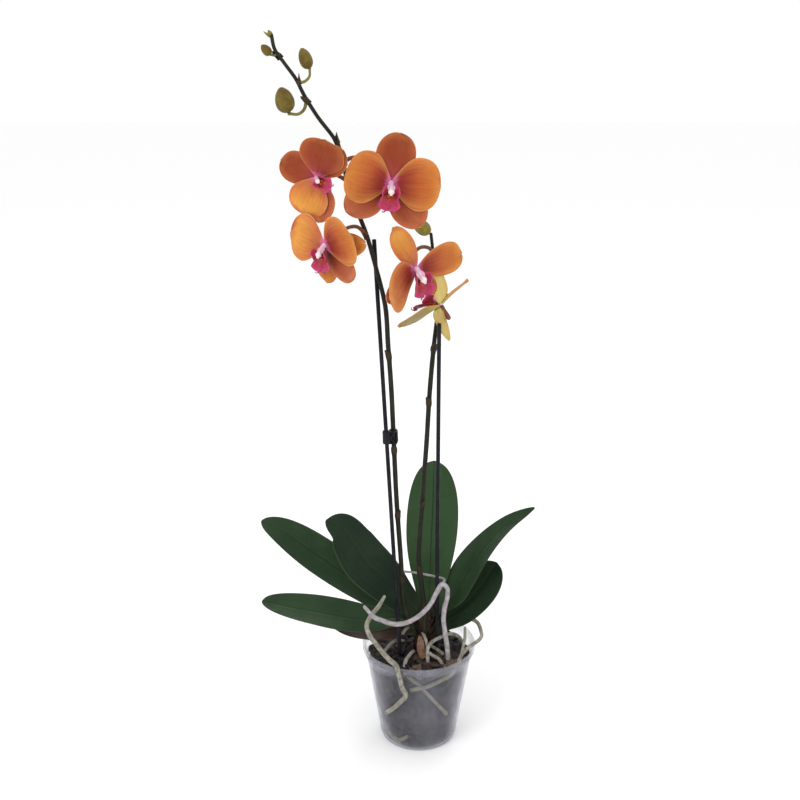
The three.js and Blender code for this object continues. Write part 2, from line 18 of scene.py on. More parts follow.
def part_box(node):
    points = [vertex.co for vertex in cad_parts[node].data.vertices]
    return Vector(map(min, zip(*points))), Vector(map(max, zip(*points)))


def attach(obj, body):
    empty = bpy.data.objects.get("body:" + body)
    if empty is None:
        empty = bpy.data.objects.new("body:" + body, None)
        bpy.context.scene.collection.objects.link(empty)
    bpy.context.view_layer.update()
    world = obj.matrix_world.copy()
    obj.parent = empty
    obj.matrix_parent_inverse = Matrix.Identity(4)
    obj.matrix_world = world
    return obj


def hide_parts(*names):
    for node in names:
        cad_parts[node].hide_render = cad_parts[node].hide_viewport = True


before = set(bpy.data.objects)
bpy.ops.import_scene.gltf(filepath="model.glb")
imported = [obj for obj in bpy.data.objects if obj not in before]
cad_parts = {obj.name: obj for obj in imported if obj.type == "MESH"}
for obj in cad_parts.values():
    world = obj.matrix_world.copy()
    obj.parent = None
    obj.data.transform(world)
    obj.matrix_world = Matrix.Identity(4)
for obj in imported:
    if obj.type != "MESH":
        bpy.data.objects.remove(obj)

log = logging.getLogger("orchid")

MM = 0.001
BODY = "root"
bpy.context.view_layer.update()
GOLDEN_TURN = 2.399963
GOLDEN_SHARE = 0.6180339
WHITE = (1.0, 1.0, 1.0)

Colour = tuple[float, float, float]
Array = np.ndarray
Middle = Callable[[Array, Array], Array]
Socket = bpy.types.NodeSocket
Node = bpy.types.Node
Material = bpy.types.Material


# ---- curves and small mathematics ---------------------------------------------------------------
def route(*stops: Sequence[float]) -> Array:
    """Return the stops of a route, given in millimetres, as metres."""
    return np.array(stops, dtype=float) * MM


def point_at(x: float, y: float, z: float) -> Array:
    """Return a place, given in millimetres, as metres."""
    return route((x, y, z))[0]


def unit(vector: Array) -> Array:
    """Return the vector, or each row of vectors, at length one."""
    return vector / np.maximum(np.linalg.norm(vector, axis=-1, keepdims=True), 1e-12)


def smooth(low: float, high: float, x: Array) -> Array:
    """Return a smooth step of x from 0 at low to 1 at high."""
    t = np.clip((x - low) / (high - low), 0.0, 1.0)
    return t * t * (3.0 - 2.0 * t)


def roughen(points: Array, scale: float, shift: float = 0.0) -> Array:
    """Return smooth noise from -1 to 1 at each point.

    Args:
        points: Points, in metres, in an array whose last axis is 3 long.
        scale: How many waves go into a metre.
        shift: Moves the pattern, so that two pieces differ.

    Returns:
        A value between about -1 and 1 for each point.
    """
    flat = points.reshape(-1, 3) * scale + shift
    values = [noise.noise(Vector(p)) for p in flat]
    return np.array(values).reshape(points.shape[:-1])


def centripetal(points: Array, per_span: int = 24) -> Array:
    """Return a smooth curve through the points (centripetal Catmull-Rom).

    Args:
        points: The points that the curve goes through.
        per_span: Samples between two of them.

    Returns:
        The points of the dense curve.
    """
    ends = np.vstack([2 * points[0] - points[1], points, 2 * points[-1] - points[-2]])
    samples = []
    for a, b, c, d in zip(ends, ends[1:], ends[2:], ends[3:]):
        gaps = [max(np.linalg.norm(q - p) ** 0.5, 1e-9) for p, q in ((a, b), (b, c), (c, d))]
        start = (b - a) / gaps[0] - (c - a) / (gaps[0] + gaps[1]) + (c - b) / gaps[1]
        finish = (c - b) / gaps[1] - (d - b) / (gaps[1] + gaps[2]) + (d - c) / gaps[2]
        start, finish = start * gaps[1], finish * gaps[1]
        t = np.linspace(0, 1, per_span, endpoint=False)[:, None]
        cubic = 2 * b - 2 * c + start + finish
        square = -3 * b + 3 * c - 2 * start - finish
        samples.append(cubic * t**3 + square * t**2 + start * t + b)
    return np.vstack([*samples, points[-1:]])


def evenly(curve: Array, shares: Array) -> Array:
    """Return the points of a dense curve at the given shares of its length, 0 to 1.

    Args:
        curve: The points of a dense curve.
        shares: Shares of its length, 0 to 1.

    Returns:
        The points at those shares.
    """
    lengths = np.concatenate([[0.0], np.cumsum(np.linalg.norm(np.diff(curve, axis=0), axis=1))])
    wanted = shares * lengths[-1]
    return np.stack([np.interp(wanted, lengths, curve[:, axis]) for axis in range(3)], axis=-1)


def spaced(stops: Array, count: int) -> Array:
    """Return that many evenly spaced points of the smooth curve through the stops.

    Args:
        stops: The points that the curve goes through.
        count: How many points.

    Returns:
        The points.
    """
    return evenly(centripetal(stops), np.linspace(0, 1, count))


def bulging(count: int, *radii: float) -> Array:
    """Return that many radii, running evenly through the given ones.

    Args:
        count: How many radii.

    Returns:
        The radii.
    """
    return np.interp(np.linspace(0, 1, count), np.linspace(0, 1, len(radii)), radii)


def length_of(curve: Array) -> float:
    """Return the length of a dense curve."""
    return float(np.linalg.norm(np.diff(curve, axis=0), axis=1).sum())


def carried_frames(curve: Array) -> tuple[Array, Array, Array]:
    """Return the tangents of a curve and two side directions that turn as little as possible.

    Args:
        curve: The points of the curve.

    Returns:
        The directions ahead, to the side and up at each point.
    """
    ahead = unit(np.gradient(curve, axis=0))
    seed = np.array([0.0, 1.0, 0.0]) if abs(ahead[0][1]) < 0.9 else np.array([1.0, 0.0, 0.0])
    side = unit(np.cross(ahead[0], seed))
    sides = []
    for tangent in ahead:
        side = unit(side - tangent * side.dot(tangent))
        sides.append(side)
    first = np.array(sides)
    return ahead, first, np.cross(ahead, first)


def outline(u: Array, base: float, peak: float, blunt: float) -> Array:
    """Return a blade's half-width at u as a share of its widest half-width.

    Args:
        u: Place along the blade, 0 at the base and 1 at the tip.
        base: Share of the width at the base.
        peak: Where the blade is widest.
        blunt: How blunt the tip is.

    Returns:
        The half-width at each u, as a share of the widest.
    """
    rise = base + (1 - base) * np.sin(np.pi / 2 * np.minimum(1, u / peak))
    fall = np.clip((u - peak) / (1 - peak), 0, 1)
    return rise * (1 - fall**blunt) ** (1 / blunt)


# ---- meshes -------------------------------------------------------------------------------------
@dataclass
class Builder:
    """Gathers closed shapes into one mesh, each with its own finish.

    Every face corner gets a `blade` coordinate: across the shape and along it, both 0 to 1. Every
    point gets a `back` value: 0 on the upper face of a blade and 1 on its underside.
    """

    points: list[Array] = field(default_factory=list)
    faces: list[tuple[int, ...]] = field(default_factory=list)
    corners: list[tuple[float, float]] = field(default_factory=list)
    backs: list[Array] = field(default_factory=list)
    finishes: list[int] = field(default_factory=list)
    count: int = 0

    def add(self, points: Array, faces: list[tuple[int, ...]], corners: list[tuple[float, float]],
            backs: Array, finish: int) -> None:
        """Add one shape, turning its faces outward.

        Args:
            points: Its points.
            faces: Its faces, as indices of its own points.
            corners: One blade coordinate for each face corner, in the order of the faces.
            backs: The back value of each point.
            finish: Index of its finish.
        """
        volume = 0.0
        for face in faces:
            a = points[face[0]]
            for p, q in zip(face[1:], face[2:]):
                volume += a.dot(np.cross(points[p], points[q]))
        at = 0
        for face in faces:
            own = corners[at:at + len(face)]
            at += len(face)
            if volume < 0:
                face, own = face[::-1], own[::-1]
            self.faces.append(tuple(self.count + i for i in face))
            self.corners.extend(own)
            self.finishes.append(finish)
        self.points.append(points)
        self.backs.append(backs)
        self.count += len(points)

    def rings(self, rings: Array, ends: tuple[Array, Array], along: Array, backs: Array | None = None,
              across: Array | None = None, finish: int = 0) -> None:
        """Add a shape made of closed rings between two end points.

        Args:
            rings: Points, shaped (rings, points in a ring, 3).
            ends: The end point before the first ring and the one after the last.
            along: The along coordinate of each ring.
            backs: The back value of each point of a ring, or None for all 0.
            across: The across coordinate of each point of a ring, closed by its first value, or
                None for once round the ring.
            finish: Index of its finish.
        """
        rows, size = rings.shape[:2]
        across = np.linspace(0, 1, size + 1) if across is None else across
        backs = np.zeros(size) if backs is None else backs
        points = np.vstack([rings.reshape(-1, 3), ends[0][None], ends[1][None]])
        first, last = rows * size, rows * size + 1
        faces, corners = [], []
        for j in range(size):
            k = (j + 1) % size
            faces.append((first, k, j))
            corners += [(across[j], 0.0), (across[j + 1], along[0]), (across[j], along[0])]
            for i in range(rows - 1):
                low, high = i * size, (i + 1) * size
                faces.append((low + j, low + k, high + k, high + j))
                corners += [(across[j], along[i]), (across[j + 1], along[i]),
                            (across[j + 1], along[i + 1]), (across[j], along[i + 1])]
            low = (rows - 1) * size
            faces.append((last, low + j, low + k))
            corners += [(across[j], 1.0), (across[j], along[-1]), (across[j + 1], along[-1])]
        values = np.concatenate([np.tile(backs, rows), [0.5, 0.5]])
        self.add(points, faces, corners, values, finish)

    def blade(self, middle: Middle, thickness: float, rows: int = 40, ring: int = 40,
              finish: int = 0, swell: Callable[[Array, Array], Array] | None = None) -> None:
        """Add a thin blade, such as a leaf or a petal.

        Args:
            middle: The middle surface: points for arrays of u (base 0 to tip 1) and s (-1 to 1).
            thickness: Thickness at the midrib.
            rows: Rings between base and tip.
            ring: Points in a ring, half on each face.
            finish: Index of its finish.
            swell: Extra thickness of the upper face, from u and s, or None.
        """
        turn = np.linspace(0, 2 * np.pi, ring, endpoint=False)
        u = 0.5 - 0.5 * np.cos(np.linspace(0, np.pi, rows + 2)[1:-1])
        us, angles = np.meshgrid(u, turn, indexing="ij")
        s, side = np.cos(angles), np.sin(angles)
        step = 1e-3
        here = middle(us, s)
        onward = middle(np.minimum(us + step, 1), s) - middle(np.maximum(us - step, 0), s)
        sideways = middle(us, s + step) - middle(us, s - step)
        normal = unit(np.cross(sideways, onward))
        lift = side * thickness / 2
        if swell is not None:
            lift = lift + swell(us, s) * np.sign(side) * np.abs(side) ** 0.5
        rings = here + normal * lift[..., None]
        ends = (middle(np.array([0.0]), np.array([0.0]))[0], middle(np.array([1.0]), np.array([0.0]))[0])
        across = np.append(np.cos(turn), 1.0) / 2 + 0.5
        self.rings(rings, ends, u, smooth(0.35, -0.35, np.sin(turn)), across, finish)

    def tube(self, curve: Array, radii: Array, ring: int = 16, finish: int = 0,
             bumps: Array | None = None, rounded: float = 1.0) -> None:
        """Add a round stem along a curve.

        Args:
            curve: Points of its axis.
            radii: Radius at each point.
            ring: Points round it.
            finish: Index of its finish.
            bumps: Change of radius at each point of each ring, or None.
            rounded: How far the ends bulge, as a share of the radius.
        """
        ahead, first, second = carried_frames(curve)
        turn = np.linspace(0, 2 * np.pi, ring, endpoint=False)
        spokes = (first[:, None] * np.cos(turn)[None, :, None]
                  + second[:, None] * np.sin(turn)[None, :, None])
        reach = np.repeat(radii[:, None], ring, axis=1)
        if bumps is not None:
            reach = reach + bumps
        rings = curve[:, None] + spokes * reach[..., None]
        caps = []
        for end, way in ((0, -1), (-1, 1)):
            for lean in (30, 62):
                tilt = math.radians(lean)
                centre = curve[end] + way * ahead[end] * radii[end] * rounded * math.sin(tilt)
                caps.append(centre + spokes[end] * (reach[end] * math.cos(tilt))[:, None])
        rings = np.concatenate([[caps[1]], [caps[0]], rings, [caps[2]], [caps[3]]])
        ends = (curve[0] - ahead[0] * radii[0] * rounded, curve[-1] + ahead[-1] * radii[-1] * rounded)
        along = np.concatenate([[0, 0], np.linspace(0, 1, len(curve)), [1, 1]])
        self.rings(rings, ends, along, finish=finish)

    def build(self, name: str, materials: Sequence[Material]) -> bpy.types.Object:
        """Return the object that holds all the shapes.

        Args:
            name: The object's name.
            materials: A material for each finish index.

        Returns:
            The new object.
        """
        mesh = bpy.data.meshes.new(name)
        mesh.from_pydata(np.vstack(self.points).tolist(), [], self.faces)
        layer = mesh.uv_layers.new(name="blade")
        layer.data.foreach_set("uv", np.array(self.corners, dtype=np.float32).ravel())
        back = mesh.attributes.new("back", "FLOAT", "POINT")
        back.data.foreach_set("value", np.concatenate(self.backs).astype(np.float32))
        for material in materials:
            mesh.materials.append(material)
        mesh.polygons.foreach_set("material_index", np.array(self.finishes, dtype=np.int32))
        mesh.polygons.foreach_set("use_smooth", np.ones(len(self.faces), dtype=bool))
        mesh.validate()
        mesh.update()
        return stand(name, mesh)


def stand(name: str, data: bpy.types.ID) -> bpy.types.Object:
    """Return a new object of the scene that holds the data.

    Args:
        name: Its name.
        data: A mesh, a camera or a lamp.

    Returns:
        The new object.
    """
    thing = bpy.data.objects.new(name, data)
    bpy.context.scene.collection.objects.link(thing)
    return thing


def place(thing: bpy.types.Object, node: str | None) -> None:
    """Let a piece ride with the plant and stand it in for its CAD node.

    Args:
        thing: The piece.
        node: The CAD node that it replaces, if any.
    """
    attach(thing, BODY)
    if node is not None:
        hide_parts(node)
    log.info("%s: %d faces", thing.name, len(thing.data.polygons))


# ---- shader nodes -------------------------------------------------------------------------------
class Graph:
    """Adds and links the nodes of one material or node group."""

    def __init__(self, tree: bpy.types.NodeTree) -> None:
        """Work on the given node tree."""
        self.tree = tree

    def add(self, kind: str, inputs: dict | None = None, **settings: object) -> Node:
        """Add a node.

        Args:
            kind: The node's type name, without "ShaderNode" where it starts with that.
            inputs: Values or sockets for its inputs, by name or index.
            **settings: Values for its own properties.

        Returns:
            The new node.
        """
        node = self.tree.nodes.new(kind if kind.startswith("Node") else "ShaderNode" + kind)
        for key, value in settings.items():
            setattr(node, key, value)
        for key, value in (inputs or {}).items():
            if isinstance(value, Socket):
                self.tree.links.new(value, node.inputs[key])
            else:
                node.inputs[key].default_value = value
        return node

    def maths(self, operation: str, *values: object, clamp: bool = False) -> Socket:
        """Add a Math node and return its result."""
        node = self.add("Math", dict(enumerate(values)), operation=operation, use_clamp=clamp)
        return node.outputs[0]

    def mix(self, factor: object, a: object, b: object, blend: str = "MIX") -> Socket:
        """Mix two colours and return the result.

        Args:
            factor: The share of b, as a value or socket.
            a: First colour.
            b: Second colour.
            blend: How they are blended.

        Returns:
            The colour socket.
        """
        colours = {6: rgba(a) if isinstance(a, tuple) else a, 7: rgba(b) if isinstance(b, tuple) else b}
        node = self.add("Mix", {0: factor, **colours}, data_type="RGBA", blend_type=blend)
        return node.outputs[2]

    def remap(self, value: object, low: float, high: float, to_low: float = 0.0,
              to_high: float = 1.0) -> Socket:
        """Map a value smoothly from one range to another and return the result.

        Args:
            value: The value or socket.
            low: Where the ramp starts.
            high: Where the ramp ends.
            to_low: The result at the start.
            to_high: The result at the end.

        Returns:
            The value socket.
        """
        inputs = {"Value": value, "From Min": low, "From Max": high, "To Min": to_low, "To Max": to_high}
        node = self.add("MapRange", inputs, interpolation_type="SMOOTHSTEP")
        return node.outputs["Result"]

    def shaded(self, colour: object, shade: object) -> Socket:
        """Darken or lighten a colour by a shade and return the result.

        Args:
            colour: The colour socket.
            shade: The share of it that is kept, which may be above 1.

        Returns:
            The colour socket.
        """
        grey = self.add("CombineColor", {0: shade, 1: shade, 2: shade}).outputs[0]
        return self.mix(1.0, colour, grey, "MULTIPLY")

    def weighed(self, a: object, share_a: float, b: object, share_b: float) -> Socket:
        """Add two values, each times its share, and return the sum."""
        return self.maths("ADD", self.maths("MULTIPLY", a, share_a), self.maths("MULTIPLY", b, share_b))

    def ramp(self, factor: object, stops: Sequence[tuple[float, Colour]]) -> Socket:
        """Add a colour ramp with the given stops and return its colour.

        Args:
            factor: The value that picks the colour.
            stops: Positions and colours.

        Returns:
            The colour socket.
        """
        node = self.add("ValToRGB", {0: factor})
        elements = node.color_ramp.elements
        while len(elements) < len(stops):
            elements.new(0.5)
        for element, (position, colour) in zip(elements, stops):
            element.position = position
            element.color = rgba(colour)
        return node.outputs[0]

    def group(self, tree: bpy.types.NodeTree, inputs: dict) -> Node:
        """Place a node group with its own values.

        Args:
            tree: The group.
            inputs: Values or sockets for its inputs.

        Returns:
            The group node.
        """
        return self.add("Group", inputs, node_tree=tree)


def rgba(colour: Colour) -> tuple[float, float, float, float]:
    """Return a colour with full alpha."""
    return (*colour, 1.0)


def shared_group(name: str, inputs: dict[str, tuple[str, object]], outputs: dict[str, str],
                 fill: Callable[[Graph, Node, Node], None]) -> bpy.types.NodeTree:
    """Return the node group of that name, built once.

    Args:
        name: The group's name.
        inputs: Socket kind and first value of each input, by name.
        outputs: Socket kind of each output, by name.
        fill: Adds the group's nodes between its input node and its output node.

    Returns:
        The group.
    """
    tree = bpy.data.node_groups.get(name)
    if tree is not None:
        return tree
    tree = bpy.data.node_groups.new(name, "ShaderNodeTree")
    for label, (kind, value) in inputs.items():
        socket = tree.interface.new_socket(name=label, in_out="INPUT", socket_type=kind)
        socket.default_value = value
    for label, kind in outputs.items():
        tree.interface.new_socket(name=label, in_out="OUTPUT", socket_type=kind)
    graph = Graph(tree)
    entry, leave = graph.add("NodeGroupInput"), graph.add("NodeGroupOutput")
    fill(graph, entry, leave)
    return tree


def mottle_group() -> bpy.types.NodeTree:
    """Return the group that drifts between two colours in soft patches."""

    def fill(graph: Graph, entry: Node, leave: Node) -> None:
        """Add the patches.

        Args:
            graph: The graph that is being filled.
            entry: The group's inputs.
            leave: The group's outputs.
        """
        place_of = graph.add("TexCoord").outputs["Object"]
        patches = graph.add("TexNoise", {"Vector": place_of, "Scale": entry.outputs["Scale"], "Detail": 4.0,
                                         "Roughness": 0.6})
        mask = graph.remap(patches.outputs[0], 0.36, 0.64)
        colour = graph.mix(mask, entry.outputs["Colour"], entry.outputs["Patch"])
        graph.tree.links.new(colour, leave.inputs["Colour"])
        graph.tree.links.new(mask, leave.inputs["Mask"])

    return shared_group(
        "mottle",
        {"Colour": ("NodeSocketColor", (0.5, 0.5, 0.5, 1.0)),
         "Patch": ("NodeSocketColor", (0.4, 0.4, 0.4, 1.0)), "Scale": ("NodeSocketFloat", 30.0)},
        {"Colour": "NodeSocketColor", "Mask": "NodeSocketFloat"}, fill)


def veins_group() -> bpy.types.NodeTree:
    """Return the group that draws veins fanning out from the base of a blade."""

    def fill(graph: Graph, entry: Node, leave: Node) -> None:
        """Add long streaks that run from base to tip.

        Args:
            graph: The graph that is being filled.
            entry: The group's inputs.
            leave: The group's outputs.
        """
        uv = graph.add("UVMap", uv_map="blade").outputs[0]
        parts = graph.add("SeparateXYZ", {0: uv})
        across = graph.maths("MULTIPLY", parts.outputs[0], entry.outputs["Count"])
        along = graph.maths("MULTIPLY", parts.outputs[1], entry.outputs["Wander"])
        vector = graph.add("CombineXYZ", {0: across, 1: along}).outputs[0]
        broad = graph.add("TexNoise", {"Vector": vector, "Scale": 1.0, "Detail": 3.0, "Roughness": 0.62,
                                       "Distortion": 0.35})
        ridge = graph.maths("ABSOLUTE", graph.maths("SUBTRACT", broad.outputs[0], 0.5))
        line = graph.remap(ridge, 0.0, entry.outputs["Width"], 1.0, 0.0)
        graph.tree.links.new(line, leave.inputs["Line"])
        graph.tree.links.new(broad.outputs[0], leave.inputs["Streak"])

    return shared_group(
        "veins",
        {"Count": ("NodeSocketFloat", 24.0), "Wander": ("NodeSocketFloat", 1.2),
         "Width": ("NodeSocketFloat", 0.08)},
        {"Line": "NodeSocketFloat", "Streak": "NodeSocketFloat"}, fill)


def grain_group() -> bpy.types.NodeTree:
    """Return the group that puts out a fine grain as a height and a mask."""

    def fill(graph: Graph, entry: Node, leave: Node) -> None:
        """Add two sizes of noise.

        Args:
            graph: The graph that is being filled.
            entry: The group's inputs.
            leave: The group's outputs.
        """
        place_of = graph.add("TexCoord").outputs["Object"]
        fine = graph.add("TexNoise", {"Vector": place_of, "Scale": entry.outputs["Scale"], "Detail": 5.0,
                                      "Roughness": 0.7})
        coarse_scale = graph.maths("MULTIPLY", entry.outputs["Scale"], 0.22)
        coarse = graph.add("TexNoise", {"Vector": place_of, "Scale": coarse_scale, "Detail": 3.0})
        height = graph.weighed(fine.outputs[0], 0.6, coarse.outputs[0], 0.4)
        graph.tree.links.new(height, leave.inputs["Height"])
        graph.tree.links.new(graph.remap(coarse.outputs[0], 0.4, 0.65), leave.inputs["Mask"])

    return shared_group(
        "grain", {"Scale": ("NodeSocketFloat", 600.0)},
        {"Height": "NodeSocketFloat", "Mask": "NodeSocketFloat"}, fill)


class Dresser:
    """Starts a material and its main shader, and closes it."""

    def __init__(self, name: str, **uniform: object) -> None:
        """Start a material.

        Args:
            name: The material's name.
            **uniform: Values that are the same all over, by input name with _ for a space.
        """
        self.material = bpy.data.materials.new(name)
        self.material.use_nodes = True
        self.material.node_tree.nodes.clear()
        self.graph = Graph(self.material.node_tree)
        inputs = {key.replace("_", " "): value for key, value in uniform.items()}
        self.shader = self.graph.add("BsdfPrincipled", inputs)
        out = self.graph.add("OutputMaterial")
        self.material.node_tree.links.new(self.shader.outputs[0], out.inputs[0])
        parts = self.graph.add("SeparateXYZ", {0: self.graph.add("UVMap", uv_map="blade").outputs[0]})
        self.across, self.along = parts.outputs[0], parts.outputs[1]
        self.offset = self.graph.maths("ABSOLUTE", self.graph.maths(
            "MULTIPLY_ADD", self.across, 2.0, -1.0))

    def back(self) -> Socket:
        """Return the back value: 0 on the upper face of a blade, 1 on its underside."""
        return self.graph.add("Attribute", attribute_name="back").outputs["Fac"]

    def colour(self, socket: Socket) -> None:
        """Feed the base colour."""
        self.material.node_tree.links.new(socket, self.shader.inputs["Base Color"])

    def roughness(self, socket: Socket) -> None:
        """Feed the roughness."""
        self.material.node_tree.links.new(socket, self.shader.inputs["Roughness"])

    def alpha(self, socket: Socket) -> None:
        """Feed the alpha."""
        self.material.node_tree.links.new(socket, self.shader.inputs["Alpha"])

    def bump(self, height: Socket, depth: float, strength: float = 1.0) -> None:
        """Feed the normal from a height, with its depth in metres."""
        node = self.graph.add("Bump", {"Height": height, "Distance": depth, "Strength": strength})
        self.material.node_tree.links.new(node.outputs[0], self.shader.inputs["Normal"])


# ---- finishes -----------------------------------------------------------------------------------
@dataclass(frozen=True)
class Finish:
    """A finish, which makes one material."""

    name: str

    def made(self) -> Material:
        """Return the new material."""
        raise NotImplementedError

    def material(self) -> Material:
        """Return the material, made at its first use."""
        return bpy.data.materials.get(self.name) or self.made()


@dataclass(frozen=True)
class TepalFinish(Finish):
    """The skin of a sepal or petal, from its purple heart to its pale rim."""

    near: Colour
    body: Colour
    outer: Colour
    edge: Colour
    vein: Colour = (0.24, 0.02, 0.012)
    rim: Colour = (0.7, 0.36, 0.14)
    heart: Colour = (0.62, 0.14, 0.36)
    back: Colour = (0.5, 0.24, 0.07)
    back_heart: Colour = (0.42, 0.4, 0.09)
    halo: float = 0.05

    def face(self, dress: "Dresser", veins: Node) -> Socket:
        """Return the colour of the upper face.

        Args:
            dress: The material that is being made.
            veins: The veins group, placed in that material.

        Returns:
            The colour socket.
        """
        graph = dress.graph
        streak = veins.outputs["Streak"]
        reach = graph.maths("MULTIPLY_ADD", graph.maths("SUBTRACT", streak, 0.5), 0.24, dress.along)
        face = graph.ramp(reach, [(0.0, self.near), (0.22, self.near), (0.5, self.body), (0.82, self.outer),
                                  (1.0, self.edge)])
        side = graph.maths("MULTIPLY_ADD", graph.maths("SUBTRACT", streak, 0.5), 0.14, dress.offset)
        face = graph.mix(graph.remap(side, 0.45, 1.0, 0.0, 0.7), face, self.edge)
        patches = graph.group(mottle_group(), {"Colour": rgba(WHITE), "Patch": rgba((0.86, 0.74, 0.62)),
                                               "Scale": 60.0})
        face = graph.mix(0.6, face, patches.outputs["Colour"], "MULTIPLY")
        fade = graph.remap(dress.along, 0.2, 0.9, 0.6, 0.16)
        face = graph.mix(graph.maths("MULTIPLY", veins.outputs["Line"], fade), face, self.vein)
        heart = graph.remap(reach, self.halo, self.halo + 0.1, 0.8, 0.0)
        face = graph.mix(heart, face, self.heart)
        rim = graph.maths("MAXIMUM", graph.remap(dress.offset, 0.965, 0.997),
                          graph.remap(dress.along, 0.988, 0.999))
        return graph.mix(graph.maths("MULTIPLY", rim, 0.7), face, self.rim)

    def rear(self, dress: "Dresser", veins: Node) -> Socket:
        """Return the colour of the underside.

        Args:
            dress: The material that is being made.
            veins: The veins group, placed in that material.

        Returns:
            The colour socket.
        """
        graph = dress.graph
        rear = graph.mix(graph.maths("MULTIPLY", veins.outputs["Line"], 0.45), self.back, (0.26, 0.1, 0.03))
        rear = graph.mix(graph.remap(dress.along, 0.0, 0.5, 0.8, 0.0), rear, self.back_heart)
        return graph.mix(graph.remap(dress.offset, 0.6, 1.0, 0.0, 0.6), rear, self.edge)

    def made(self) -> Material:
        """Return the new material.

        Returns:
            The material.
        """
        dress = Dresser(self.name, Roughness=0.5, Sheen_Weight=0.03, Sheen_Roughness=0.5,
                        Subsurface_Weight=0.08, Subsurface_Scale=0.003, Specular_IOR_Level=0.16)
        graph = dress.graph
        veins = graph.group(veins_group(), {"Count": 34.0, "Wander": 0.6, "Width": 0.05})
        dress.colour(graph.mix(dress.back(), self.face(dress, veins), self.rear(dress, veins)))
        grain = graph.group(grain_group(), {"Scale": 900.0})
        height = graph.weighed(veins.outputs["Streak"], 0.8, grain.outputs["Height"], 0.25)
        dress.bump(height, 0.0006, 0.7)
        dress.roughness(graph.remap(grain.outputs["Mask"], 0.0, 1.0, 0.42, 0.58))
        return dress.material


class Tone(Enum):
    """How deep the orange of a tepal is, in copies of one tepal skin that differ partly by painted light
    and shade: the brighter yellow copy is lit and the darker red-brown copy is shaded.
    """

    # Lit copy of the tepal skin: painted light, brighter and yellower, for tepals that face up to the
    # light.
    GOLDEN = TepalFinish("tepal_golden", near=(0.5, 0.15, 0.06), body=(0.6, 0.23, 0.045),
                         outer=(0.7, 0.33, 0.06), edge=(0.6, 0.2, 0.07))
    ORANGE = TepalFinish("tepal_orange", near=(0.26, 0.028, 0.018), body=(0.42, 0.095, 0.024),
                         outer=(0.52, 0.17, 0.03), edge=(0.64, 0.26, 0.06))
    CORAL = TepalFinish("tepal_coral", near=(0.1, 0.012, 0.008), body=(0.3, 0.055, 0.02),
                        outer=(0.4, 0.11, 0.045), edge=(0.52, 0.17, 0.07), halo=0.02)
    # Shaded copy of the tepal skin: painted shade, darker and redder, for upper tepals that lean forward
    # into shade.
    SHADED_RUSSET = TepalFinish("tepal_russet", near=(0.3, 0.05, 0.035), body=(0.26, 0.045, 0.014),
                         outer=(0.26, 0.052, 0.012), edge=(0.4, 0.12, 0.035), halo=0.03)
    PALE_BACKED = TepalFinish("tepal_pale_backed", near=(0.4, 0.05, 0.03), body=(0.42, 0.11, 0.035),
                              outer=(0.52, 0.2, 0.06), edge=(0.6, 0.3, 0.1), back=(0.62, 0.5, 0.16),
                              back_heart=(0.5, 0.5, 0.1), halo=0.02)
    OLIVE_BACKED = TepalFinish("tepal_olive_backed", near=(0.12, 0.012, 0.008), body=(0.25, 0.03, 0.014),
                               outer=(0.3, 0.06, 0.02), edge=(0.5, 0.2, 0.05), back=(0.27, 0.2, 0.05),
                               back_heart=(0.42, 0.38, 0.08), halo=0.02)


@dataclass(frozen=True)
class LeafFinish(Finish):
    """The thick green skin of a leaf, with fine parallel veins and a paler underside."""

    name: str = "leaf_green"
    upper: Colour = (0.014, 0.033, 0.013)
    patch: Colour = (0.022, 0.048, 0.019)
    under: Colour = (0.06, 0.08, 0.04)
    margin: Colour = (0.045, 0.055, 0.028)

    def made(self) -> Material:
        """Return the new material.

        Returns:
            The material.
        """
        dress = Dresser(self.name, Specular_IOR_Level=0.14)
        graph = dress.graph
        base = graph.group(mottle_group(), {"Colour": rgba(self.upper), "Patch": rgba(self.patch),
                                            "Scale": 16.0})
        veins = graph.group(veins_group(), {"Count": 30.0, "Wander": 0.16, "Width": 0.07})
        face = graph.mix(graph.maths("MULTIPLY", veins.outputs["Line"], 0.14), base.outputs["Colour"],
                         (0.032, 0.066, 0.026))
        midrib = graph.remap(dress.offset, 0.0, 0.05, 1.0, 0.0)
        face = graph.mix(graph.maths("MULTIPLY", midrib, 0.75), face, (0.007, 0.016, 0.007))
        face = graph.mix(graph.remap(dress.along, 0.0, 0.22, 0.5, 0.0), face, (0.045, 0.055, 0.026))
        face = graph.mix(graph.remap(dress.offset, 0.93, 1.0, 0.0, 0.8), face, self.margin)
        dress.colour(graph.mix(dress.back(), face, self.under))
        grain = graph.group(grain_group(), {"Scale": 700.0})
        height = graph.weighed(veins.outputs["Streak"], 0.5, grain.outputs["Height"], 0.4)
        dress.bump(height, 0.0005, 0.5)
        dress.roughness(graph.remap(grain.outputs["Mask"], 0.0, 1.0, 0.4, 0.55))
        return dress.material


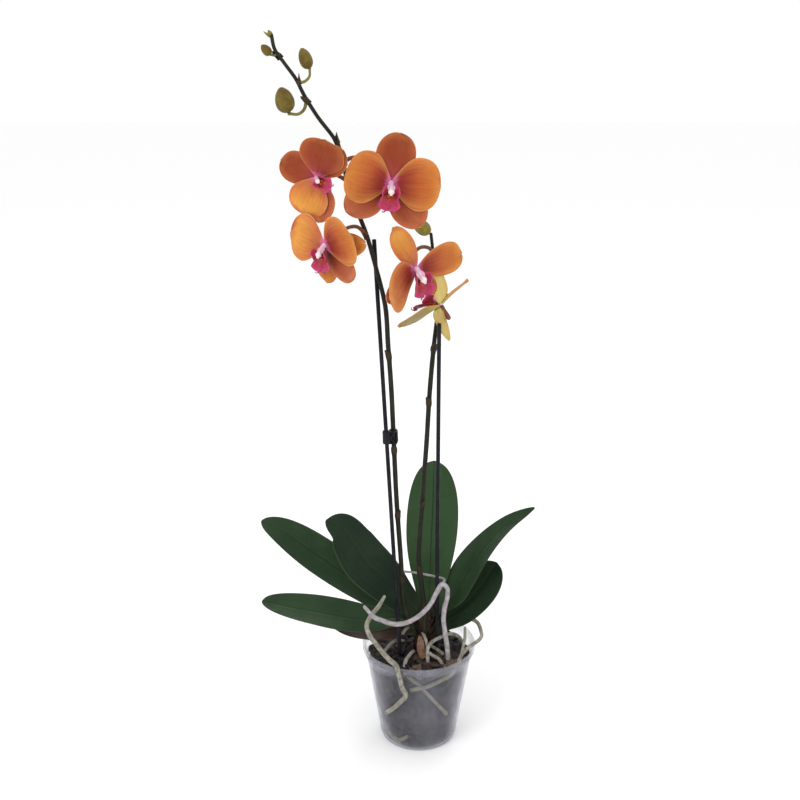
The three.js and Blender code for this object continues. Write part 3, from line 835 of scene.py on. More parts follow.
@dataclass(frozen=True)
class SkinFinish(Finish):
    """A mottled skin for stems, roots, buds, bracts and bark.

    Attributes:
        name: The material's name.
        colour: Main colour.
        patch: Colour of the patches.
        streak: Colour of thin streaks along the piece.
        scale: Patches in a metre.
        streaks: How strongly the streaks show.
        grain: Grains in a metre.
        depth: Depth of the grain, in metres.
        rough: Lowest and highest roughness.
    """

    colour: Colour
    patch: Colour
    streak: Colour
    scale: float = 60.0
    streaks: float = 0.3
    grain: float = 900.0
    depth: float = 0.0004
    rough: tuple[float, float] = (0.5, 0.7)

    def made(self) -> Material:
        """Return the new material.

        Returns:
            The material.
        """
        dress = Dresser(self.name, Specular_IOR_Level=0.15)
        graph = dress.graph
        base = graph.group(mottle_group(), {"Colour": rgba(self.colour), "Patch": rgba(self.patch),
                                            "Scale": self.scale})
        veins = graph.group(veins_group(), {"Count": 14.0, "Wander": 6.0, "Width": 0.08})
        colour = graph.mix(graph.maths("MULTIPLY", veins.outputs["Line"], self.streaks),
                           base.outputs["Colour"], self.streak)
        grain = graph.group(grain_group(), {"Scale": self.grain})
        shade = graph.remap(grain.outputs["Height"], 0.3, 0.7, 0.82, 1.1)
        dress.colour(graph.shaded(colour, shade))
        height = graph.maths("ADD", graph.maths("MULTIPLY", veins.outputs["Streak"], 0.5),
                             grain.outputs["Height"])
        dress.bump(height, self.depth, 0.8)
        dress.roughness(graph.remap(grain.outputs["Mask"], 0.0, 1.0, *self.rough))
        return dress.material


SPIKE_SKIN = SkinFinish("spike_skin", (0.012, 0.013, 0.009), (0.022, 0.02, 0.013), (0.036, 0.033, 0.02),
                        scale=90.0)
STALK_SKIN = SkinFinish("stalk_skin", (0.16, 0.075, 0.035), (0.2, 0.07, 0.04), (0.07, 0.04, 0.02),
                        scale=120.0)
BUD_STALK_SKIN = SkinFinish("bud_stalk_skin", (0.2, 0.19, 0.04), (0.13, 0.12, 0.03), (0.1, 0.07, 0.02))
BRACT_SKIN = SkinFinish("bract_skin", (0.03, 0.023, 0.014), (0.06, 0.036, 0.02), (0.016, 0.012, 0.009),
                        scale=150.0, streaks=0.5)
BUD_SKIN = SkinFinish("bud_skin", (0.16, 0.13, 0.02), (0.12, 0.075, 0.014), (0.1, 0.045, 0.012),
                      scale=90.0, streaks=0.4, depth=0.0003, rough=(0.42, 0.55))
YOUNG_BUD_SKIN = SkinFinish("young_bud_skin", (0.3, 0.29, 0.055), (0.22, 0.19, 0.04), (0.16, 0.09, 0.02),
                            scale=90.0, streaks=0.35, depth=0.0003, rough=(0.42, 0.55))
ROOT_SKIN = SkinFinish("root_skin", (0.4, 0.39, 0.35), (0.23, 0.215, 0.165), (0.1, 0.08, 0.05),
                       scale=240.0, streaks=0.5, grain=1300.0, depth=0.001, rough=(0.75, 0.9))
PALE_ROOT_SKIN = SkinFinish("pale_root_skin", (0.45, 0.415, 0.445), (0.3, 0.275, 0.28),
                            (0.15, 0.13, 0.12), scale=200.0, streaks=0.3, grain=1300.0, depth=0.0006,
                            rough=(0.75, 0.9))
WALL_ROOT_SKIN = SkinFinish("wall_root_skin", (0.3, 0.28, 0.2), (0.2, 0.17, 0.11), (0.1, 0.08, 0.045),
                            scale=200.0, streaks=0.35, grain=1300.0, depth=0.0006, rough=(0.6, 0.8))
CROWN_SKIN = SkinFinish("crown_skin", (0.034, 0.031, 0.018), (0.022, 0.013, 0.01), (0.085, 0.058, 0.036),
                        scale=120.0, streaks=0.6, depth=0.0008, rough=(0.6, 0.8))
DRY_SKIN = SkinFinish("dry_skin", (0.36, 0.24, 0.17), (0.24, 0.12, 0.075), (0.1, 0.045, 0.03),
                      scale=140.0, streaks=0.7, depth=0.0007, rough=(0.7, 0.85))
OLD_SHEATH_SKIN = SkinFinish("old_sheath_skin", (0.046, 0.024, 0.018), (0.08, 0.045, 0.03),
                             (0.02, 0.011, 0.008), scale=140.0, streaks=0.7, depth=0.0008,
                             rough=(0.6, 0.8))
COLUMN_SKIN = SkinFinish("column_skin", (0.7, 0.46, 0.58), (0.8, 0.62, 0.7), (0.55, 0.12, 0.36),
                         scale=200.0, streaks=0.35, depth=0.0002, rough=(0.35, 0.5))
CAP_SKIN = SkinFinish("cap_skin", (0.85, 0.78, 0.72), (0.8, 0.62, 0.68), (0.7, 0.5, 0.5), scale=200.0,
                      streaks=0.1, depth=0.0002, rough=(0.35, 0.5))
CALLUS_SKIN = SkinFinish("callus_skin", (0.5, 0.12, 0.02), (0.32, 0.02, 0.015), (0.2, 0.008, 0.012),
                         scale=420.0, streaks=0.5, depth=0.0003, rough=(0.3, 0.45))


@dataclass(frozen=True)
class LipFinish(Finish):
    """The magenta skin of the lip: red at its heart, darker stripes and pink edges."""

    name: str = "lip_skin"
    heart: Colour = (0.36, 0.008, 0.02)
    body: Colour = (0.44, 0.008, 0.05)
    edge: Colour = (0.6, 0.035, 0.19)
    stripe: Colour = (0.2, 0.003, 0.02)
    flame: Colour = (0.6, 0.16, 0.05)

    def made(self) -> Material:
        """Return the new material.

        Returns:
            The material.
        """
        dress = Dresser(self.name, Sheen_Weight=0.15, Subsurface_Weight=0.1, Subsurface_Scale=0.003,
                        Specular_IOR_Level=0.4)
        graph = dress.graph
        veins = graph.group(veins_group(), {"Count": 12.0, "Wander": 1.4, "Width": 0.1})
        face = graph.ramp(dress.along, [(0.0, self.heart), (0.3, self.heart), (0.6, self.body),
                                        (1.0, self.edge)])
        face = graph.mix(graph.remap(dress.offset, 0.55, 1.0, 0.0, 0.8), face, self.edge)
        stripes = graph.ramp(dress.along, [(0.0, self.flame), (0.3, self.flame), (0.5, self.stripe),
                                           (1.0, self.stripe)])
        face = graph.mix(graph.maths("MULTIPLY", veins.outputs["Line"], 0.6), face, stripes)
        patches = graph.group(mottle_group(), {"Colour": rgba(WHITE), "Patch": rgba((0.78, 0.68, 0.76)),
                                               "Scale": 260.0})
        dress.colour(graph.mix(0.6, face, patches.outputs["Colour"], "MULTIPLY"))
        grain = graph.group(grain_group(), {"Scale": 1500.0})
        dress.bump(graph.maths("ADD", veins.outputs["Streak"], grain.outputs["Height"]), 0.0004, 0.6)
        dress.roughness(graph.remap(grain.outputs["Mask"], 0.0, 1.0, 0.32, 0.5))
        return dress.material


@dataclass(frozen=True)
class MouldedFinish(Finish):
    """Black moulded plastic with faint scuffs and dust."""

    colour: Colour
    worn: Colour
    rough: tuple[float, float] = (0.3, 0.48)

    def made(self) -> Material:
        """Return the new material.

        Returns:
            The material.
        """
        dress = Dresser(self.name, Specular_IOR_Level=0.12)
        graph = dress.graph
        base = graph.group(mottle_group(), {"Colour": rgba(self.colour), "Patch": rgba(self.worn),
                                            "Scale": 45.0})
        veins = graph.group(veins_group(), {"Count": 10.0, "Wander": 3.0, "Width": 0.03})
        dress.colour(graph.mix(graph.maths("MULTIPLY", veins.outputs["Line"], 0.3), base.outputs["Colour"],
                               self.worn))
        grain = graph.group(grain_group(), {"Scale": 1600.0})
        dress.bump(grain.outputs["Height"], 0.00012, 0.5)
        dress.roughness(graph.remap(grain.outputs["Mask"], 0.0, 1.0, *self.rough))
        return dress.material


@dataclass(frozen=True)
class ClearPotFinish(Finish):
    """Thin clear plastic with a milky haze, faint flow lines and pale marks, more milky towards the foot
    and at the rim.
    """

    name: str = "clear_pot"
    colour: Colour = (0.36, 0.36, 0.43)
    haze: float = 0.1
    rim_haze: float = 0.13

    def made(self) -> Material:
        """Return the new material.

        Returns:
            The material.
        """
        dress = Dresser(self.name, IOR=1.46, Specular_IOR_Level=0.5)
        graph = dress.graph
        place_of = graph.add("TexCoord").outputs["Object"]
        height = graph.add("SeparateXYZ", {0: place_of}).outputs[2]
        low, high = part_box("pot")
        rim = graph.remap(height, high[2] - 0.013, high[2] - 0.004)
        # The haze thickens towards the foot: fully below 2 mm and gone by 12 mm above the bottom.
        foot = graph.remap(height, low[2] + 0.002, low[2] + 0.012, 1.0, 0.0)
        stretched = graph.add("Mapping", {0: place_of, 3: (60.0, 60.0, 9.0)}).outputs[0]
        flow = graph.add("TexNoise", {"Vector": stretched, "Scale": 1.0, "Detail": 5.0, "Roughness": 0.65})
        marks = graph.group(mottle_group(), {"Colour": rgba(self.colour), "Patch": rgba((0.46, 0.46, 0.52)),
                                             "Scale": 70.0})
        dress.colour(marks.outputs["Colour"])
        veil = graph.remap(flow.outputs[0], 0.3, 0.7, self.haze * 0.7, self.haze * 1.5)
        veil = graph.maths("ADD", veil, graph.maths("MULTIPLY", rim, self.rim_haze))
        veil = graph.maths("ADD", veil, graph.maths("MULTIPLY", foot, 0.12), clamp=True)
        # Where the wall is seen side-on it turns more opaque: partly the milky haze seen through more
        # plastic, partly painted reflection that lightens the pot's sides; less of it at the rim.
        side_on_haze_and_reflection = graph.add("LayerWeight", {"Blend": 0.42}).outputs["Facing"]
        edge = graph.maths("MULTIPLY", graph.remap(side_on_haze_and_reflection, 0.35, 0.95, 0.0, 0.5),
                           graph.remap(rim, 0.0, 1.0, 1.0, 0.45))
        veil = graph.maths("ADD", veil, edge, clamp=True)
        dress.alpha(veil)
        grain = graph.group(grain_group(), {"Scale": 500.0})
        fine = graph.maths("MULTIPLY", grain.outputs["Height"], 0.3)
        dress.bump(graph.maths("ADD", flow.outputs[0], fine), 0.00012, 0.3)
        dress.roughness(graph.remap(grain.outputs["Mask"], 0.0, 1.0, 0.14, 0.24))
        return dress.material


@dataclass(frozen=True)
class BarkFinish(Finish):
    """Potting bark: near-black chips with red-brown and tan broken faces, darker lower in the mix."""

    name: str = "bark_chips"

    def made(self) -> Material:
        """Return the new material.

        Returns:
            The material.
        """
        dress = Dresser(self.name, Specular_IOR_Level=0.35)
        graph = dress.graph
        place_of = graph.add("TexCoord").outputs["Object"]
        cells = graph.add("TexVoronoi", {"Vector": place_of, "Scale": 85.0})
        pick = graph.add("SeparateColor", {0: cells.outputs["Color"]}).outputs[0]
        chips = graph.ramp(pick, [(0.0, (0.006, 0.005, 0.005)), (0.5, (0.014, 0.01, 0.009)),
                                  (0.8, (0.026, 0.015, 0.012)), (0.95, (0.06, 0.032, 0.022)),
                                  (1.0, (0.14, 0.1, 0.075))])
        stretched = graph.add("Mapping", {0: place_of, 3: (300.0, 900.0, 300.0)}).outputs[0]
        fibres = graph.add("TexNoise", {"Vector": stretched, "Scale": 1.0, "Detail": 6.0, "Roughness": 0.7})
        height = graph.add("SeparateXYZ", {0: place_of}).outputs[2]
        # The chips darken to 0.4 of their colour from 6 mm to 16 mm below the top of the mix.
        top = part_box("bark_mix")[1][2]
        darker_below_top = graph.remap(height, top - 0.016, top - 0.006, 0.4, 1.0)
        shade = graph.maths("MULTIPLY", graph.remap(fibres.outputs[0], 0.3, 0.75, 0.5, 1.5), darker_below_top)
        dress.colour(graph.shaded(chips, shade))
        grain = graph.group(grain_group(), {"Scale": 800.0})
        dress.bump(graph.maths("ADD", fibres.outputs[0], grain.outputs["Height"]), 0.0012, 0.9)
        dress.roughness(graph.remap(grain.outputs["Mask"], 0.0, 1.0, 0.55, 0.9))
        return dress.material


# ---- pot ----------------------------------------------------------------------------------------
@dataclass
class Pot:
    """The clear nursery pot, with its stepped rim, foot ring and drain holes."""

    height: float = 0.110
    base_radius: float = 0.040
    shoulder_radius: float = 0.056
    shoulder_height: float = 0.098
    rim_radius: float = 0.060
    wall: float = 0.0012
    floor: float = 0.0016
    drain_holes: int = 8
    drain_radius: float = 0.003
    drain_circle: float = 0.028
    segments: int = 144

    def radius(self, z: float | Array) -> float | Array:
        """Return the outer radius of the wall at a height."""
        return self.base_radius + (self.shoulder_radius - self.base_radius) * z / self.shoulder_height

    def profile(self) -> Array:
        """Return the wall's outline, from the floor's underside round to the floor's top.

        Returns:
            Pairs of radius and height, in metres.
        """
        rim, top, shoulder = self.rim_radius, self.height, self.shoulder_radius
        low = self.shoulder_height
        foot = [(math.sin(a) * 0.003 + self.base_radius - 0.003, 0.003 - math.cos(a) * 0.003)
                for a in np.linspace(0.0, math.pi / 2 * 0.92, 6)]
        outside = [(self.radius(z), z) for z in (0.006, 0.0066)]
        outside += [(self.radius(0.0075) + 0.0004, 0.0075), (self.radius(0.0084), 0.0084)]
        outside += [(self.radius(z), z) for z in np.linspace(0.012, low - 0.001, 16)]
        steps = [(shoulder + 0.0007, low), (shoulder + 0.0011, low + 0.0004),
                 (shoulder + 0.0012, low + 0.0024), (shoulder + 0.0019, low + 0.0028),
                 (shoulder + 0.0021, low + 0.0048), (rim - 0.001, low + 0.0056),
                 (rim - 0.0001, low + 0.0066), (rim, low + 0.0074), (rim, top - 0.0006),
                 (rim - 0.0004, top), (rim - 0.0014, top), (rim - 0.0018, top - 0.0005)]
        inside = [(rim - 0.0019, top - 0.004), (shoulder + 0.001, low + 0.0052),
                  (shoulder + 0.0008, low + 0.003), (shoulder - 0.0002, low + 0.0018),
                  (shoulder - self.wall, low - 0.0006)]
        inside += [(self.radius(z) - self.wall, z) for z in np.linspace(low - 0.004, 0.007, 12)]
        inside += [(self.base_radius - 0.0028, 0.0028), (self.base_radius - 0.0046, self.floor)]
        return np.array([(0.0, 0.0), (self.drain_circle, 0.0), *foot, *outside, *steps, *inside,
                         (self.drain_circle, self.floor), (0.0, self.floor)])

    def shell(self) -> bpy.types.Object:
        """Return the pot's wall and floor with the drain holes cut through.

        Returns:
            The shell.
        """
        profile = self.profile()
        turn = np.linspace(0, 2 * np.pi, self.segments, endpoint=False)
        rows = profile[1:-1]
        rings = np.stack([rows[:, None, 0] * np.cos(turn), rows[:, None, 0] * np.sin(turn),
                          np.repeat(rows[:, 1:], self.segments, axis=1)], axis=-1)
        builder = Builder()
        ends = (np.array([0.0, 0.0, profile[0, 1]]), np.array([0.0, 0.0, profile[-1, 1]]))
        builder.rings(rings, ends, np.linspace(0, 1, len(rows)))
        shell = builder.build("clear_pot_shell", [ClearPotFinish().material()])
        self.drill(shell)
        return shell

    def drill(self, shell: bpy.types.Object) -> None:
        """Cut the drain holes through the floor of the shell.

        Args:
            shell: The shell.
        """
        holes = bmesh.new()
        for index in range(self.drain_holes):
            angle = 2 * math.pi * (index + 0.5) / self.drain_holes
            spot = Vector((self.drain_circle * math.cos(angle), self.drain_circle * math.sin(angle), 0.0))
            made = bmesh.ops.create_cone(holes, cap_ends=True, segments=24, radius1=self.drain_radius,
                                         radius2=self.drain_radius, depth=6 * self.floor)
            bmesh.ops.translate(holes, verts=made["verts"], vec=spot)
        mesh = bpy.data.meshes.new("drain_cutter")
        holes.to_mesh(mesh)
        holes.free()
        cutter = stand("drain_cutter", mesh)
        cut = shell.modifiers.new("drain", "BOOLEAN")
        cut.operation, cut.object, cut.solver = "DIFFERENCE", cutter, "EXACT"
        depsgraph = bpy.context.evaluated_depsgraph_get()
        result = bpy.data.meshes.new_from_object(shell.evaluated_get(depsgraph))
        shell.modifiers.clear()
        shell.data = result
        bpy.data.objects.remove(cutter)

    def make(self) -> None:
        """Build and place the pot."""
        place(self.shell(), "pot")


# ---- bark mix -----------------------------------------------------------------------------------
@dataclass
class BarkMix:
    """Loose bark chips: a rough core, chips heaped at the top and chips pressed to the wall."""

    pot: Pot
    top: float = 0.0955
    clear_of_wall: float = 0.0006
    heap_chips: int = 150
    heap_radius: float = 0.0505
    wall_chips: int = 430
    wall_chip_thickness: float = 0.0016
    wall_heights: tuple[float, float] = (0.007, 0.086)
    seed: int = 7
    wall_roots: Sequence[Array] = ()
    root_radius: float = 0.002

    def yielding(self, points: Array, reach: float) -> Array:
        """Return how far the bark gives way, towards the axis, for the roots on the wall.

        Args:
            points: Points of the bark.
            reach: How near a root, along the wall, the bark starts to give way.

        Returns:
            The distance for each point, in metres.
        """
        give = np.zeros(points.shape[:-1])
        angle = np.arctan2(points[..., 1], points[..., 0])
        for stops in self.wall_roots:
            axis = spaced(stops, 60)
            radius = np.hypot(axis[:, 0], axis[:, 1])
            turn = angle[..., None] - np.arctan2(axis[:, 1], axis[:, 0])
            round_way = (turn + np.pi) % (2 * np.pi) - np.pi
            away = np.hypot(round_way * radius, points[..., 2:] - axis[:, 2])
            nearest = away.argmin(axis=-1)
            inner = self.pot.radius(points[..., 2]) - self.pot.wall
            depth = inner - radius[nearest] + self.root_radius * 0.6
            give = np.maximum(give, depth * smooth(reach, reach * 0.45, away.min(axis=-1)))
        return give

    def chip(self, builder: Builder, centre: Array, size: Array, turn: Array, shift: float) -> None:
        """Add one broken chip.

        Args:
            builder: Takes the chip.
            centre: Its middle.
            size: Its three half-sizes.
            turn: Rows are its three axes.
            shift: Moves its pattern of breaks.
        """
        shape = bmesh.new()
        bmesh.ops.create_icosphere(shape, subdivisions=2, radius=1.0)
        points = np.array([v.co for v in shape.verts])
        faces = [tuple(v.index for v in f.verts) for f in shape.faces]
        shape.free()
        blocky = np.sign(points) * np.abs(points) ** 0.62
        breaks = 1 + 0.2 * roughen(points, 1.7, shift) + 0.08 * roughen(points, 5.0, shift)
        blocky *= breaks[:, None]
        corners = [(0.5, 0.5)] * (3 * len(faces))
        builder.add(centre + (blocky * size) @ turn, faces, corners, np.zeros(len(points)), 0)

    def core(self, builder: Builder) -> None:
        """Add the rough body that fills the pot between the chips.

        Args:
            builder: Takes the mesh.
        """
        wall = self.pot.wall + self.clear_of_wall + 0.0012
        heights = np.linspace(0.0032, self.top - 0.002, 40)
        radii = self.pot.radius(heights) - wall
        top_radii = np.linspace(radii[-1] - 0.002, 0.006, 10)
        rows = [(0.006, 0.0026), (self.pot.base_radius - 0.009, 0.0026), *zip(radii, heights),
                *((r, self.top) for r in top_radii)]
        turn = np.linspace(0, 2 * np.pi, 120, endpoint=False)
        rings = np.array([[(r * math.cos(a), r * math.sin(a), z) for a in turn] for r, z in rows])
        bumps = roughen(rings, 130.0) + 0.5 * roughen(rings, 320.0, 9.0)
        outward = rings * np.array([1.0, 1.0, 0.0])
        rings = rings + unit(outward) * (0.0008 * bumps - 0.0004 - self.yielding(rings, 0.006))[..., None]
        rings[-11:, :, 2] += 0.002 * bumps[-11:]
        ends = (np.array([0.0, 0.0, 0.0026]), np.array([0.0, 0.0, self.top]))
        builder.rings(rings, ends, np.linspace(0, 1, len(rows)))

    def make(self) -> None:
        """Build and place the bark mix."""
        random = np.random.default_rng(self.seed)
        builder = Builder()
        self.core(builder)
        for index in range(self.heap_chips):
            angle = GOLDEN_TURN * index
            reach = self.heap_radius * math.sqrt((index + 0.5) / self.heap_chips)
            long, wide, thick = random.uniform((0.0045, 0.003, 0.0014), (0.0092, 0.0056, 0.0028))
            lean, roll, spin = random.uniform((-0.5, -0.5, 0), (0.5, 0.5, 2 * math.pi))
            centre = np.array([reach * math.cos(angle), reach * math.sin(angle),
                               self.top + random.uniform(0.0002, 0.0048) * (1.25 - reach / 0.08)])
            reach_limit = self.pot.radius(self.top) - self.pot.wall - long * 0.8
            if reach > reach_limit:
                centre[:2] *= reach_limit / reach
            self.chip(builder, centre, np.array([long, wide, thick]), turned(spin, lean, roll), 3.1 * index)
        for index in range(self.wall_chips):
            angle = GOLDEN_TURN * index
            lowest, rise = self.wall_heights
            z = lowest + rise * ((index * GOLDEN_SHARE) % 1.0)
            long, wide = random.uniform((0.0035, 0.0026), (0.0078, 0.0048))
            thick = self.wall_chip_thickness
            face = self.pot.radius(z) - self.pot.wall - self.clear_of_wall
            reach = face - thick - random.uniform(0.0, 0.0006)
            out = np.array([math.cos(angle), math.sin(angle), 0.0])
            centre = out * reach + np.array([0, 0, z])
            if self.yielding(centre[None], 0.011)[0] > 0.0005:
                continue
            round_way = np.array([-math.sin(angle), math.cos(angle), 0.0])
            tilt = random.uniform(0, math.pi)
            first = round_way * math.cos(tilt) + np.array([0, 0, 1.0]) * math.sin(tilt)
            axes = np.array([first, np.cross(out, first), out])
            self.chip(builder, centre, np.array([long, wide, thick]), axes, 5.7 * index)
        place(builder.build("bark_chips_heap", [BarkFinish().material()]), "bark_mix")


def turned(spin: float, lean: float, roll: float) -> Array:
    """Return three axes turned by spin about Z, then lean and roll, in radians.

    Args:
        spin: Turn about Z.
        lean: Turn about X, after the spin.
        roll: Turn about Y, after both.

    Returns:
        The three axes as rows.
    """
    cs, ss, cl, sl, cr, sr = (f(a) for a in (spin, lean, roll) for f in (math.cos, math.sin))
    about_z = np.array([[cs, ss, 0], [-ss, cs, 0], [0, 0, 1]])
    about_x = np.array([[1, 0, 0], [0, cl, sl], [0, -sl, cl]])
    about_y = np.array([[cr, 0, -sr], [0, 1, 0], [sr, 0, cr]])
    return about_y @ about_x @ about_z


# ---- stem and leaves ----------------------------------------------------------------------------
@dataclass
class Leaf:
    """A thick strap leaf that follows its spine, with a channelled upper face."""

    node: str
    spine: Array
    face: Array
    width: float
    fold: float
    phase: float
    finish: LeafFinish
    slot: str = "leaf"
    thickness: float = 0.0022
    peak: float = 0.58
    blunt: float = 2.3
    tuck: float = 0.007

    def middle(self) -> Middle:
        """Return the leaf's middle surface.

        Returns:
            The surface, as a function of u and s.
        """
        start = self.spine[0] - unit(self.spine[1] - self.spine[0]) * self.tuck
        curve = centripetal(np.vstack([start[None], self.spine[1:]]))
        face = unit(self.face)

        def surface(u: Array, s: Array) -> Array:
            """Return the points at u and s.

            Args:
                u: Shares of the way from base to tip.
                s: Shares of the half-width, -1 to 1.

            Returns:
                The points.
            """
            centre = evenly(curve, u)
            onward, behind = np.minimum(u + 0.01, 1.0), np.maximum(u - 0.01, 0.0)
            ahead = unit(evenly(curve, onward) - evenly(curve, behind))
            sideways = unit(np.cross(ahead, face))
            up = np.cross(sideways, ahead)
            half = self.width / 2 * outline(u, 0.27, self.peak, self.blunt)
            channel = self.fold * half * (s * s - 0.25) - 0.0007 * np.exp(-(s / 0.07) ** 2)
            wave = 0.0011 * np.sin(7.5 * u + self.phase + 1.4 * np.sign(s)) * np.abs(s) ** 3
            ribs = 0.00011 * np.cos(s * 26.0) * (1 - np.abs(s))
            return (centre + sideways * (half * s)[..., None]
                    + up * (channel + wave + ribs)[..., None])

        return surface

    def make(self) -> None:
        """Build and place the leaf."""
        builder = Builder()
        builder.blade(self.middle(), self.thickness, rows=110, ring=72)
        place(builder.build(self.node + "_blade", [self.finish.material()]), self.node)


@dataclass
class Crown:
    """The short stem, wrapped in old leaf sheaths, with stubs of roots."""

    axis: Array = field(default_factory=lambda: point_at(7, 6, 0))
    base: float = 0.088
    top: float = 0.147

    def stem(self, builder: Builder) -> None:
        """Add the stem, ringed by leaf scars.

        Args:
            builder: Takes the mesh.
        """
        rows, ring = 70, 40
        heights = np.linspace(self.base, self.top, rows)
        radii = np.interp(heights, [0.088, 0.098, 0.124, 0.138, 0.147],
                          [0.007, 0.0094, 0.0098, 0.0078, 0.0044])
        curve = np.stack([np.full(rows, self.axis[0]), np.full(rows, self.axis[1]), heights], axis=-1)
        turn = np.linspace(0, 2 * np.pi, ring, endpoint=False)
        rings = np.cos(heights[:, None] * 700 + 1.6 * np.sin(turn)[None]) * 0.0005
        rings = rings + 0.0006 * roughen(np.stack([np.cos(turn)[None] * 0.01 + 0 * heights[:, None],
                                                   np.sin(turn)[None] * 0.01 + 0 * heights[:, None],
                                                   heights[:, None] + 0 * turn[None]], axis=-1), 260.0)
        builder.tube(curve, radii - 0.0004, ring=ring, bumps=rings, rounded=0.6)

    def sheaths(self, builder: Builder) -> None:
        """Add the torn bases of old leaves, left and right of the stem in turn."""
        for index in range(7):
            angle0 = math.pi * (index % 2) + 0.5 * math.sin(2.3 * index)
            low = 0.094 + 0.0062 * index
            radius = 0.0098 - 0.00025 * index

            def surface(u: Array, s: Array, angle0: float = angle0, low: float = low,
                        radius: float = radius) -> Array:
                """Return the points of one sheath.

                Args:
                    u: Shares of the way from base to tip.
                    s: Shares of the half-width, -1 to 1.
                    angle0: The way the sheath faces.
                    low: Height of its foot.
                    radius: Radius of the stem there.

                Returns:
                    The points.
                """
                angle = angle0 + s * 1.45 * (1 - 0.35 * u)
                out = radius + 0.0006 + 0.0034 * u**2
                z = low + 0.015 * u * (1 - 0.25 * s * s) + 0.0009 * np.sin(9 * s + angle0)
                x, y = self.axis[0] + out * np.cos(angle), self.axis[1] + out * np.sin(angle)
                return np.stack([x, y, z], axis=-1)

            builder.blade(surface, 0.0009, rows=16, ring=32, finish=1)

    def stubs(self, builder: Builder) -> None:
        """Add the short root stubs that show at the foot of the stem."""
        stubs = (
            route((4, -9, 124), (7, -13, 119), (9, -17, 112)),
            route((12, -7, 108), (19, -11, 106), (25, -12, 101)),
            route((-9, 0, 127), (-14, -4, 126), (-17, -7, 123)),
            route((-16, 6, 106), (-26, 2, 108), (-35, -6, 103), (-40, -12, 98)),
            route((16, 22, 104), (24, 32, 107), (28, 42, 102), (29, 47, 96)),
            route((-4, 18, 106), (-10, 29, 109), (-20, 38, 104), (-26, 43, 96)),
        )
        for index, stops in enumerate(stubs):
            Root.strand(builder, stops, 0.0019, 1.3 * index, 2)

    def make(self) -> None:
        """Build and place the stem."""
        builder = Builder()
        self.stem(builder)
        self.sheaths(builder)
        self.stubs(builder)
        skins = [skin.material() for skin in (CROWN_SKIN, OLD_SHEATH_SKIN, ROOT_SKIN)]
        place(builder.build("crown_stem", skins), "crown")


@dataclass
class DryBract:
    """A dry, curled bract that stands in the bark in front of the stem."""

    foot: Array = field(default_factory=lambda: point_at(6, -22, 93))
    head: Array = field(default_factory=lambda: point_at(0, -14, 124))

    def make(self) -> None:
        """Build and place the bract."""
        rise = self.head - self.foot

        def surface(u: Array, s: Array) -> Array:
            """Return the points of the bract.

            Args:
                u: Shares of the way from base to tip.
                s: Shares of the half-width, -1 to 1.

            Returns:
                The points.
            """
            half = 0.0046 * outline(u, 0.5, 0.4, 2.0)
            curl = 0.0018 * s * s - 0.0012 * u + 0.0004 * np.sin(11 * s + 5 * u)
            offset = np.stack([half * s + 0.0005 * np.sin(9 * u), curl, np.zeros_like(u)], axis=-1)
            return self.foot + rise * u[..., None] + offset

        builder = Builder()
        builder.blade(surface, 0.0012, rows=50, ring=36)
        place(builder.build("dry_bract_strip", [DRY_SKIN.material()]), "dry_bract")


# ---- roots --------------------------------------------------------------------------------------
@dataclass
class Root:
    """An aerial root with an uneven, wrinkled skin and a blunt tip."""

    node: str
    routes: Sequence[tuple[Array, float]]
    skin: SkinFinish
    slot: str = "aerial_root"

    @staticmethod
    def strand(builder: Builder, stops: Array, radius: float, shift: float, finish: int = 0) -> None:
        """Add one strand.

        Args:
            builder: Takes the strand.
            stops: The points that it goes through.
            radius: Its mean radius.
            shift: Moves its pattern of bumps.
            finish: Index of its finish.
        """
        dense = centripetal(stops)
        count = max(24, int(length_of(dense) / 0.0011))
        curve = evenly(dense, np.linspace(0, 1, count))
        t = np.linspace(0, 1, count)
        swelling = 0.97 + 0.1 * roughen(curve, 75.0, shift) + 0.05 * roughen(curve, 230.0, shift)
        radii = radius * swelling * (1 - 0.28 * smooth(0.1, 0.0, t))
        ring = 18
        turn = np.linspace(0, 2 * np.pi, ring, endpoint=False)
        spots = np.stack([np.cos(turn)[None] * 0.004 + curve[:, :1],
                          np.sin(turn)[None] * 0.004 + curve[:, 1:2],
                          curve[:, 2:] + 0 * turn[None]], axis=-1)
        bumps = radius * (0.09 * roughen(spots, 420.0, shift) + 0.05 * roughen(spots, 1100.0, shift))
        builder.tube(curve, radii, ring=ring, bumps=bumps, finish=finish)

    def make(self) -> None:
        """Build and place the root."""
        builder = Builder()
        for index, (stops, radius) in enumerate(self.routes):
            self.strand(builder, stops, radius, 2.7 * index + len(self.node))
        place(builder.build(self.node + "_strand", [self.skin.material()]), self.node)


def on_wall(pot: Pot, stops: Sequence[tuple[float, float, float]], radius: float) -> Array:
    """Return a route along the inside of the pot's wall.

    Args:
        pot: The pot.
        stops: Angle round the pot in degrees, height and depth from the wall in millimetres.
        radius: Radius of the root.

    Returns:
        The points of the route, in metres.
    """
    clear_of_wall = 0.00035
    points = []
    for degrees, z, depth in stops:
        angle = math.radians(degrees)
        reach = pot.radius(z * MM) - pot.wall - clear_of_wall - radius - depth * MM
        points.append((reach * math.cos(angle), reach * math.sin(angle), z * MM))
    return np.array(points)


# ---- flowers ------------------------------------------------------------------------------------
@dataclass(frozen=True)
class Tepal:
    """The shape of one sepal or petal. Lengths are in metres and angles in degrees from the top."""

    angle: float
    length: float
    width: float
    base: float
    peak: float
    blunt: float
    layer: float
    tilt: float = 0.0
    tone: Tone = Tone.ORANGE

    def changed(self, **changes: object) -> "Tepal":
        """Return this tepal with some values changed."""
        return Tepal(**{**self.__dict__, **changes})


